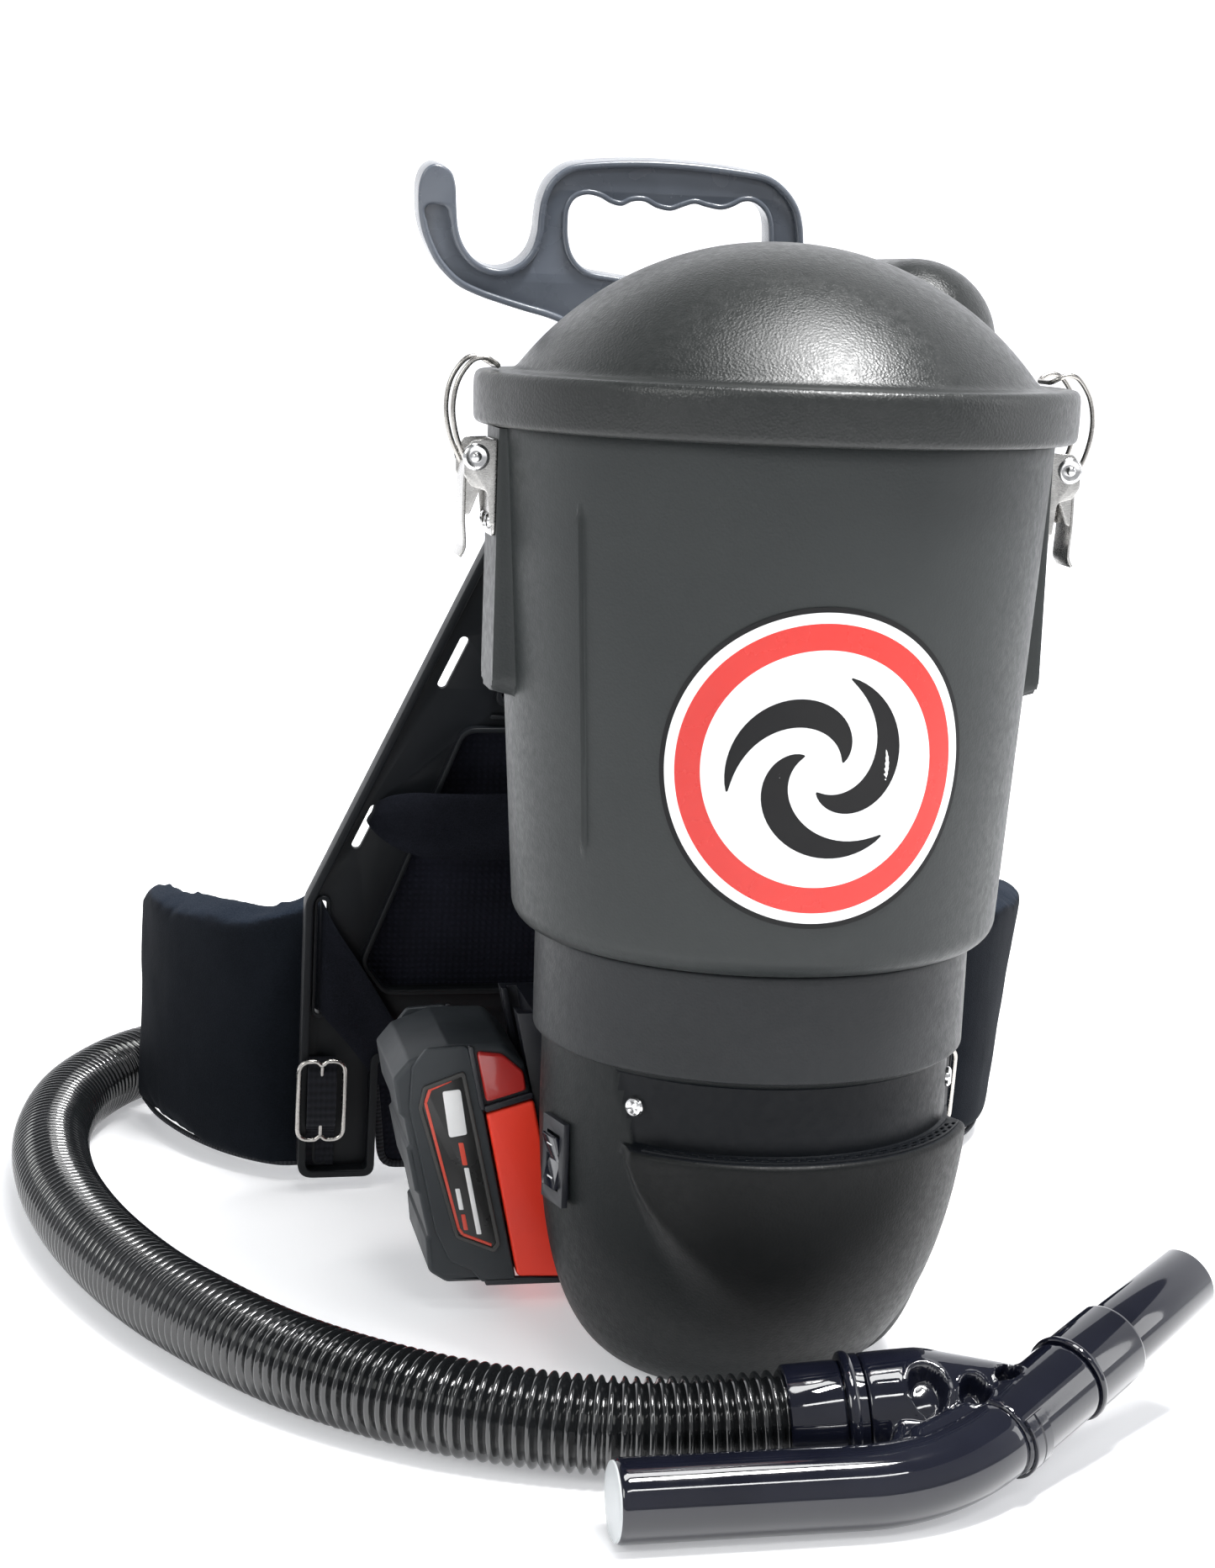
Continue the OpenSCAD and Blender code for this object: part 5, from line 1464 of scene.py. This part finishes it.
def pad_high(t):
    return 160.0 - 19.0 * t + 0.9 * sin(11 * t) - 2.0 * smooth_step(0.95, 1.0, t)


def pad_ring(t, lean):
    """One upright section of the waist pad, with soft corners."""
    a, b = along(PAD_OUT, t), along(PAD_IN, t)
    thick = (b - a).length / 2 - PAD_INSET
    low, high = pad_low(t) + PAD_INSET, pad_high(t) - PAD_INSET
    loop = rounded([(-thick, low), (thick, low), (thick, high + 11), (-thick, high + 2)], PAD_CORNER, 4)
    middle, across = (a + b) / 2, (b - a).normalized()
    made = [Vector((middle.x + across.x * q.x, middle.y + across.y * q.x, q.y)) for q in loop]
    return [p + Vector((lean * pad_twist(t, p.z), 0, 0)) for p in made]


def pad_twist(t, z):
    """How far the freer pad hangs inwards low down and outwards high up, in mm."""
    return t * t * mix(-22.0, 6.0, min(max((z - 8) / 135, 0), 1))


def make_waist_pad(side):
    rows = 42
    lean = 1.0 if side > 0 else 0.0
    rings = [pad_ring(i / rows, lean) for i in range(rows + 1)]
    verts = [p * MM for r in rings for p in r]
    count = len(rings[0])
    word = SIDE_WORD[side]
    pad = add_object(f"waist_pad_{word}_skin", verts, tube_faces(rows + 1, count), "fabric", 60)
    outward(pad)
    puffed(pad, 0.0032)
    rippled(pad, 0.055, 0.0012, 3.0)
    flip_x(pad, side)
    placed(pad, [f"waist_pad_{word}"])
    pad.data.materials.clear()
    pad.data.materials.append(MAT["fabric"])
    # Painted top light: a stored share, from how far each point's normal tilts upwards, that lightens the
    # fabric on top.
    upper = pad.data.attributes.new("upper", "FLOAT", "POINT")
    for v in pad.data.vertices:
        upper.data[v.index].value = smooth_step(0.35, 0.8, v.normal.z)

    cords = []
    for name, line_of in (("low", PAD_OUT), ("low_in", PAD_IN)):
        path = []
        for k in range(71):
            t = mix(0.02, 0.985, k / 70)
            p = along(line_of, t)
            other = along(PAD_IN if line_of is PAD_OUT else PAD_OUT, t)
            q = p + (other - p).normalized() * 2.7
            z = pad_low(t) + 2.9
            path.append(Vector((q.x + lean * pad_twist(t, z), q.y, z)) * MM)
        cords.append(sweep(f"piping_{name}", path, ring(1.5 * MM, 10), "binding", (0, 0, 1), None, 70))
    piping = flip_x(joined(f"waist_pad_{word}_piping", cords), side)
    smooth(piping, 70)
    placed(piping)


BACK_HALF = [(3, 142), (60, 148), (130, 157), (180, 141), (240, 118), (306, 97), (330, 89), (346, 80)]


def back_half_width(z):
    for (z0, w0), (z1, w1) in zip(BACK_HALF, BACK_HALF[1:]):
        if z <= z1:
            return mix(w0, w1, (z - z0) / (z1 - z0))
    return BACK_HALF[-1][1]


def make_back_pad():
    """Back cushion: flat on the frame, crowned behind, with sewn channels down and across it."""
    high, wide = 96, 72
    z0, z1 = 5.0, 344.0

    def point(i, j, back):
        s, t = 2 * j / wide - 1, i / high
        z = mix(z0, z1, t)
        w = back_half_width(z) - 1.0
        corner = 14.0
        end = min(z - z0, z1 - z)
        if end < corner:
            w -= corner - sqrt(max(corner ** 2 - (corner - end) ** 2, 0))
        edge = (1 - abs(s) ** 5) * (1 - abs(2 * t - 1) ** 8)
        if not back:
            return Vector((s * w, z, -4.8 - 1.6 * (1 - edge)))
        deep = 5.5 + 8.6 * edge ** 0.6
        x = s * w
        for c in (-46.0, 46.0):
            deep -= 4.4 * exp(-((x - c) / 4.2) ** 2) * edge
        for c in (92.0, 178.0, 262.0):
            if abs(x) > 46:
                deep -= 3.6 * exp(-((z - c) / 4.0) ** 2) * edge
        deep -= 3.4 * exp(-(x / 12.0) ** 2) * edge
        return Vector((x, z, -deep - 2.0))

    verts = [point(i, j, back) * MM for back in (False,
                                                 True) for i in range(high + 1) for j in range(wide + 1)]
    pad = add_object("back_pad_skin", verts, shell_faces(high + 1, wide + 1), "mesh", 60)
    outward(pad)
    rippled(pad, 0.05, 0.0007, 7.0)
    pad.data.transform(IN_FRAME)
    smooth(pad, 180)
    placed(pad, ["back_pad"])

    edge = [(139.6, 6), (145.4, 60), (155, 130), (139.6, 178), (116.6, 240), (95.6, 305), (87, 330),
            (78, 342)]
    loop = rounded([(-x, z) for x, z in reversed(edge)] + [(x, z) for x, z in edge], 9, 5)
    dense = evenly([Vector((*p, 0)) for p in loop + [loop[0]]], 3.0)[:-1]
    line = [IN_FRAME @ (Vector((p.x, p.y, -7.6)) * MM) for p in dense]
    trim = sweep("back_pad_binding", line, rounded_bar(7.0, 4.2, 1.8), "binding",
                 IN_FRAME.to_3x3() @ Vector((0, 0, 1)), None, 60, True)
    placed(trim)


STRAP_LINE = spline([Vector(p) for p in ((34, 213.4, 398), (40, 236, 412), (46, 256, 396), (60, 272, 345),
                                         (78, 282, 290), (96, 290, 220), (112, 296, 150))], 14)


def crowned(half_width, thick, flat):
    """Cross-section of a padded strap: flat-ish face, crowned face, thin edges."""
    shares = [mix(-1, 1, k / 16) for k in range(17)]
    made = [(s * half_width, flat * (1 - abs(s) ** 4) + 0.9) for s in shares]
    return made + [(-s * half_width, -thick * (1 - abs(s) ** 3.2) - 0.9) for s in shares]


def make_shoulder_strap(side):
    word = SIDE_WORD[side]
    line = [p * MM for p in STRAP_LINE]
    thin = len(line) - 1
    scales = []
    for i in range(len(line)):
        t = i / thin
        body = smooth_step(0.1, 0.24, t) * (1 - smooth_step(0.94, 1.0, t))
        scales.append((mix(0.62, 1.0, body), mix(0.35, 1.0, body)))
    section = [(x * MM, y * MM) for x, y in crowned(22.5, 5.2, 2.4)]
    strap = sweep(f"shoulder_strap_{word}_pad", line, section, "fabric", (1, 0, 0), scales, 60)
    rippled(strap, 0.04, 0.0006, 11.0)
    flip_x(strap, side)
    smooth(strap, 60)
    placed(strap, [f"shoulder_strap_{word}"])
    trims = []
    for edge in (-1, 1):
        path = []
        for p, (_, v, _), k in zip(line, frames_along(line, (1, 0, 0)), scales):
            path.append(p + v * edge * 22.0 * MM * k[0])
        trims.append(sweep("strap_edge", path, rounded_bar(4.4, 2.8, 1.3), "binding",
                           (1, 0, 0), None, 60))
    trim = flip_x(joined(f"shoulder_strap_{word}_binding", trims), side)
    smooth(trim, 60)
    placed(trim)


def flat_band(name, points, width, thick, side_way, wave):
    line = evenly(spline([Vector(p) * MM for p in points], 12), 0.003)
    section = []
    for way in (1, -1):
        for k in range(15):
            s = way * mix(-1, 1, k / 14)
            section.append((s * width / 2 * MM, way * thick / 2 * (1 - 0.6 * abs(s) ** 12) * MM))
    band = sweep(name, line, section, "webbing", side_way, None, 50)
    shift = Vector((len(name), 3.0, 5.0))
    frames = frames_along(line, side_way)
    for v in band.data.vertices:
        v.co += frames[v.index // len(section)][2] * wave * MM * noise.noise(v.co / 0.034 + shift)
    return band


def ruled_band(name, upper, lower, thick, material, folds=1.0):
    """A strip of cloth between two edge lines given in the frame's plane, slightly creased."""
    a = spline([Vector(p) for p in upper], 8)
    b = spline([Vector(p) for p in lower], 8)
    wide = 26
    verts = []
    for lift in (thick / 2, -thick / 2):
        for p, q in zip(a, b):
            for j in range(wide + 1):
                s = j / wide
                m = p.lerp(q, s)
                crease = folds * (0.8 * sin(7 * s + 0.05 * m.x) + 0.6 * noise.noise(m / 18))
                soft = lift * (1 - 0.7 * abs(2 * s - 1) ** 14)
                verts.append(Vector((m.x, m.y, m.z + crease + soft)))
    piece = add_object(name, [IN_FRAME @ (v * MM) for v in verts], shell_faces(len(a), wide + 1), material,
                       50)
    return outward(piece)


def make_webbing():
    halves = []
    for side in (1, -1):
        half = flat_band(f"belt_{side + 1}", [(262, 404, 72), (230, 412, 62), (170, 408, 44), (110, 400, 28),
                                              (30, 398, 23)], 38, 2.0, (0, 0, 1), 1.2)
        halves.append(flip_x(half, side))
    placed(joined("waist_belt", halves), ["waist_webbing"])
    refined("waist_buckle", "satin", 1.6, 4)

    upper = [(151.6, 225.6, 0.6), (150.4, 228, 6.0), (144, 233, 11), (132, 236.5, 16), (116, 237.5, 20),
             (60, 238.5, 23),
             (0, 239, 23.5)]
    lower = [(156.0, 215, 0.6), (154.6, 213.5, 6.0), (148, 208, 11), (136, 203, 16), (118, 200.5, 20),
             (60, 201, 23),
             (0, 201.4, 23.5)]
    ways = [half + [(-x, z, d) for x, z, d in reversed(half[:-1])] for half in (upper, lower)]
    cross = ruled_band("cross_band", *ways, 1.8, "strap_cloth", 1.7)
    smooth(cross, 50)
    placed(cross, ["cross_strap"])

    for side, word in ((1, "right"), (-1, "left")):
        upper = [(179.5, 171.4, 1.0), (178.4, 170, 6.5), (171, 156, 10.0), (158, 136, 11.0), (145, 114, 11.5),
                 (134, 95, 11.0), (126, 80, 8.0), (119, 66, 3.0)]
        lower = [(179.5, 106, 1.0), (178.5, 106, 6.5), (175, 102, 9.0), (169, 95, 9.8), (163, 88, 10.2),
                 (157, 80, 10.0), (151, 71, 7.5), (145, 60, 3.0)]
        band = flip_x(ruled_band(f"belt_band_{word}", upper, lower, 1.8, "strap_cloth"), side)
        smooth(band, 50)
        placed(band, [f"belt_strap_{word}"])
        tail = [(176.6, 78, 5.4), (176.8, 76, 11), (177.2, 69, 15.8), (177.3, 56, 17.6), (177.2, 43, 15.8),
                (176.8, 36, 9), (176.7, 31, 6.0), (176.6, 24, 5.3), (176.6, 12.6, 5.2)]
        line = evenly(spline([IN_FRAME @ (Vector(p) * MM) for p in tail], 10), 0.002)
        loop = sweep(f"slide_band_{word}", line, rounded_bar(16, 1.7, 0.8),
                     "webbing", (1, 0, 0))
        placed(flip_x(loop, side))


for pad_side in (-1, 1):
    make_waist_pad(pad_side)
    make_shoulder_strap(pad_side)
make_back_pad()
make_webbing()

# ---- hand-piece ---------------------------------------------------------------------------

HAND = Matrix.Translation((0, -0.198, 0.018)) @ turned(22.7, "X")
BEND_R, BEND_A, BEND_X, GRIP_END = 110.0, 37.3, 41.6, -99.0
BEND_T = BEND_R * tan(radians(BEND_A / 2))
ARM_FROM = (BEND_X + BEND_T * cos(radians(BEND_A)), BEND_T * sin(radians(BEND_A)))
SOCKET_FROM, SOCKET_TO = Vector((-13, -142, 25)), Vector((105, -153.5, 36.6))


def on_arm(d):
    return HAND @ moved(*ARM_FROM, 0) \
        @ turned(BEND_A, "Z") @ moved(d, 0, 0)


def on_socket(d):
    way = (SOCKET_TO - SOCKET_FROM).normalized()
    yaw, pitch = atan2(way.y, way.x), -asin(way.z)
    return Matrix.Translation((SOCKET_FROM + way * d) * MM) @ Matrix.Rotation(yaw, 4, "Z") \
        @ Matrix.Rotation(pitch, 4, "Y")


def make_grip():
    """The bent grip tube with its flat end cap."""
    start = BEND_X - BEND_T
    line = [Vector((x, 0, 0)) * MM for x in (GRIP_END, GRIP_END + 0.6, GRIP_END + 1.6)]
    line += [Vector((mix(GRIP_END + 4, start, k / 20), 0, 0)) * MM for k in range(21)]
    for k in range(1, 41):
        a = radians(BEND_A * k / 40)
        line.append(Vector((start + BEND_R * sin(a), BEND_R - BEND_R * cos(a), 0)) * MM)
    scales = [0.955, 0.982] + [1.0] * (len(line) - 5) + [1.0, 0.995, 0.98]
    tube = sweep("grip_tube", line, ring(17.5 * MM, 80), "hand", (0, 0, 1), scales, 50)
    tube.data.transform(HAND)
    placed(tube, ["hand_grip"])
    cap = [(-1.3, 0.02), (-1.35, 10), (-1.2, 15.4), (-0.7, 16.4), (0.3, 16.6), (0.3, 0.02)]
    place = HAND @ moved(GRIP_END, 0, 0)
    placed(turned_x("grip_end_cap", cap, "cap", place, 80, 30), ["grip_cap"])


HOLES = [(43.5, 41.5, 9.2, 11.4, 8), (64.0, 38.5, 7.2, 9.4, -12), (81.5, 48.0, 5.6, 6.8, -30)]


def make_body():
    """Hose socket, cone, arm and the web between them, one moulding with three oval hollows."""
    socket = [(34.0, 0.02), (34.0, 24.2), (34.6, 25.0), (60.0, 25.0), (62.5, 24.6), (66, 23.8), (104, 13.2),
              (108, 11.0),
              (109.4, 7.0), (109.4, 0.02)]
    parts = [turned_x("socket", socket, "hand", on_socket(0), 96, 40)]
    arm = [(0.2, 0.02), (0.2, 18.6), (51.8, 18.6), (52.3, 18.2), (52.3, 0.02)]
    parts.append(turned_x("arm", arm, "hand", on_arm(0), 96, 40))
    web = rounded([(18, 12), (30, 33), (52, 44), (90, 60), (112, 66), (100, 40), (72, 20), (48, 8), (30, 4)],
                 [3, 6, 8, 6, 4, 4, 6, 6, 3])
    parts.append(plate("web", [web], 7.0, 6.0, "hand", HAND @ moved(0, 0, -2), 3.0, 5))
    saddle = rounded([(24, 2), (30, 22), (56, 34), (78, 40), (80, 26), (62, 12), (44, 4)],
                     [3, 6, 8, 4, 4, 6, 4])
    parts.append(plate("saddle", [saddle], 14.0, 6.0, "hand", HAND, 5.0, 6))
    body = fused("hand_body", parts, "hand", 1.05, 10)
    back = HAND.inverted()
    turn = HAND.to_3x3()
    down = turn @ Vector((0, 0, -1))
    for v in body.data.vertices:
        p = back @ v.co / MM
        if p.z < -4:
            continue
        for x, y, a, b, lean in HOLES:
            c, s = cos(radians(lean)), sin(radians(lean))
            dx, dy = p.x - x, p.y - y
            rho = hypot((dx * c + dy * s) / a, (-dx * s + dy * c) / b)
            if rho < 1.18:
                lip = 0.5 * exp(-((rho - 1.05) / 0.09) ** 2)
                v.co += down * MM * (9.5 * (1 - smooth_step(0.62, 1.0, rho)) - lip)
                break
    smooth(body, 60)
    placed(body, ["wand_body"])


def make_hand_rest():
    cuff = [(-0.2, 18.4), (-0.2, 22.0), (0.4, 22.9), (1.6, 23.1), (22.8, 23.1), (24.2, 22.6), (24.4, 21.0),
            (44.0, 21.0),
            (44.0, 18.2), (-0.2, 18.4)]
    placed(turned_x("hose_cuff_low", cuff, "hand", on_socket(0.3), 96, 35), ["hose_cuff_hand"])
    collar = [(0.2, 21.4), (0.2, 24.6), (0.9, 25.9), (2.2, 26.5), (3.6, 26.4), (4.8, 25.7), (5.2, 25.1),
              (6.6, 25.0),
              (8.6, 25.0), (8.8, 24.6), (8.8, 21.4), (0.2, 21.4)]
    placed(turned_x("socket_collar", collar, "hand", on_socket(24.8), 96, 35), ["socket_ring"])

    band = [(0.1, 18.7), (0.1, 19.8), (0.5, 20.2), (5.4, 20.2), (6.0, 19.7), (6.6, 20.2), (11.5, 20.2),
            (11.9, 19.8),
            (11.9, 18.7)]
    verts, steps = [], 56
    for k in range(steps + 1):
        a = radians(mix(-150, -40, k / steps))
        verts += [Vector((x, r * sin(a), -r * cos(a))) * MM for x, r in band]
    slide = add_object("bleed_band", verts, tube_faces(steps + 1, len(band)), "hand", 35)
    slide.data.transform(on_arm(2))
    outward(slide, 35)
    placed(slide, ["suction_slider"], "slider")

    sleeve = [(52.5, 16.4), (52.5, 19.3), (52.9, 19.9), (53.6, 20.2), (54.6, 20.2), (55.3, 19.9),
              (55.7, 19.3), (56.6, 19.2),
              (85.6, 19.2), (86.7, 19.0), (87.3, 18.5), (87.4, 17.6), (87.4, 16.5), (52.5, 16.4)]
    placed(turned_x("arm_sleeve", sleeve, "hand", on_arm(0), 96, 30), ["wand_sleeve"])
    tube = [(54, 14.2), (54, 16.1), (87.8, 16.1), (88.0, 16.5), (148.0, 16.5), (148.7, 16.2), (149.0, 15.6),
            (149.0, 14.9), (148.6, 14.5), (147, 14.2), (54, 14.2)]
    placed(turned_x("outlet_skin", tube, "hand", on_arm(0), 96, 30), ["outlet_tube"])


make_grip()
make_body()
make_hand_rest()
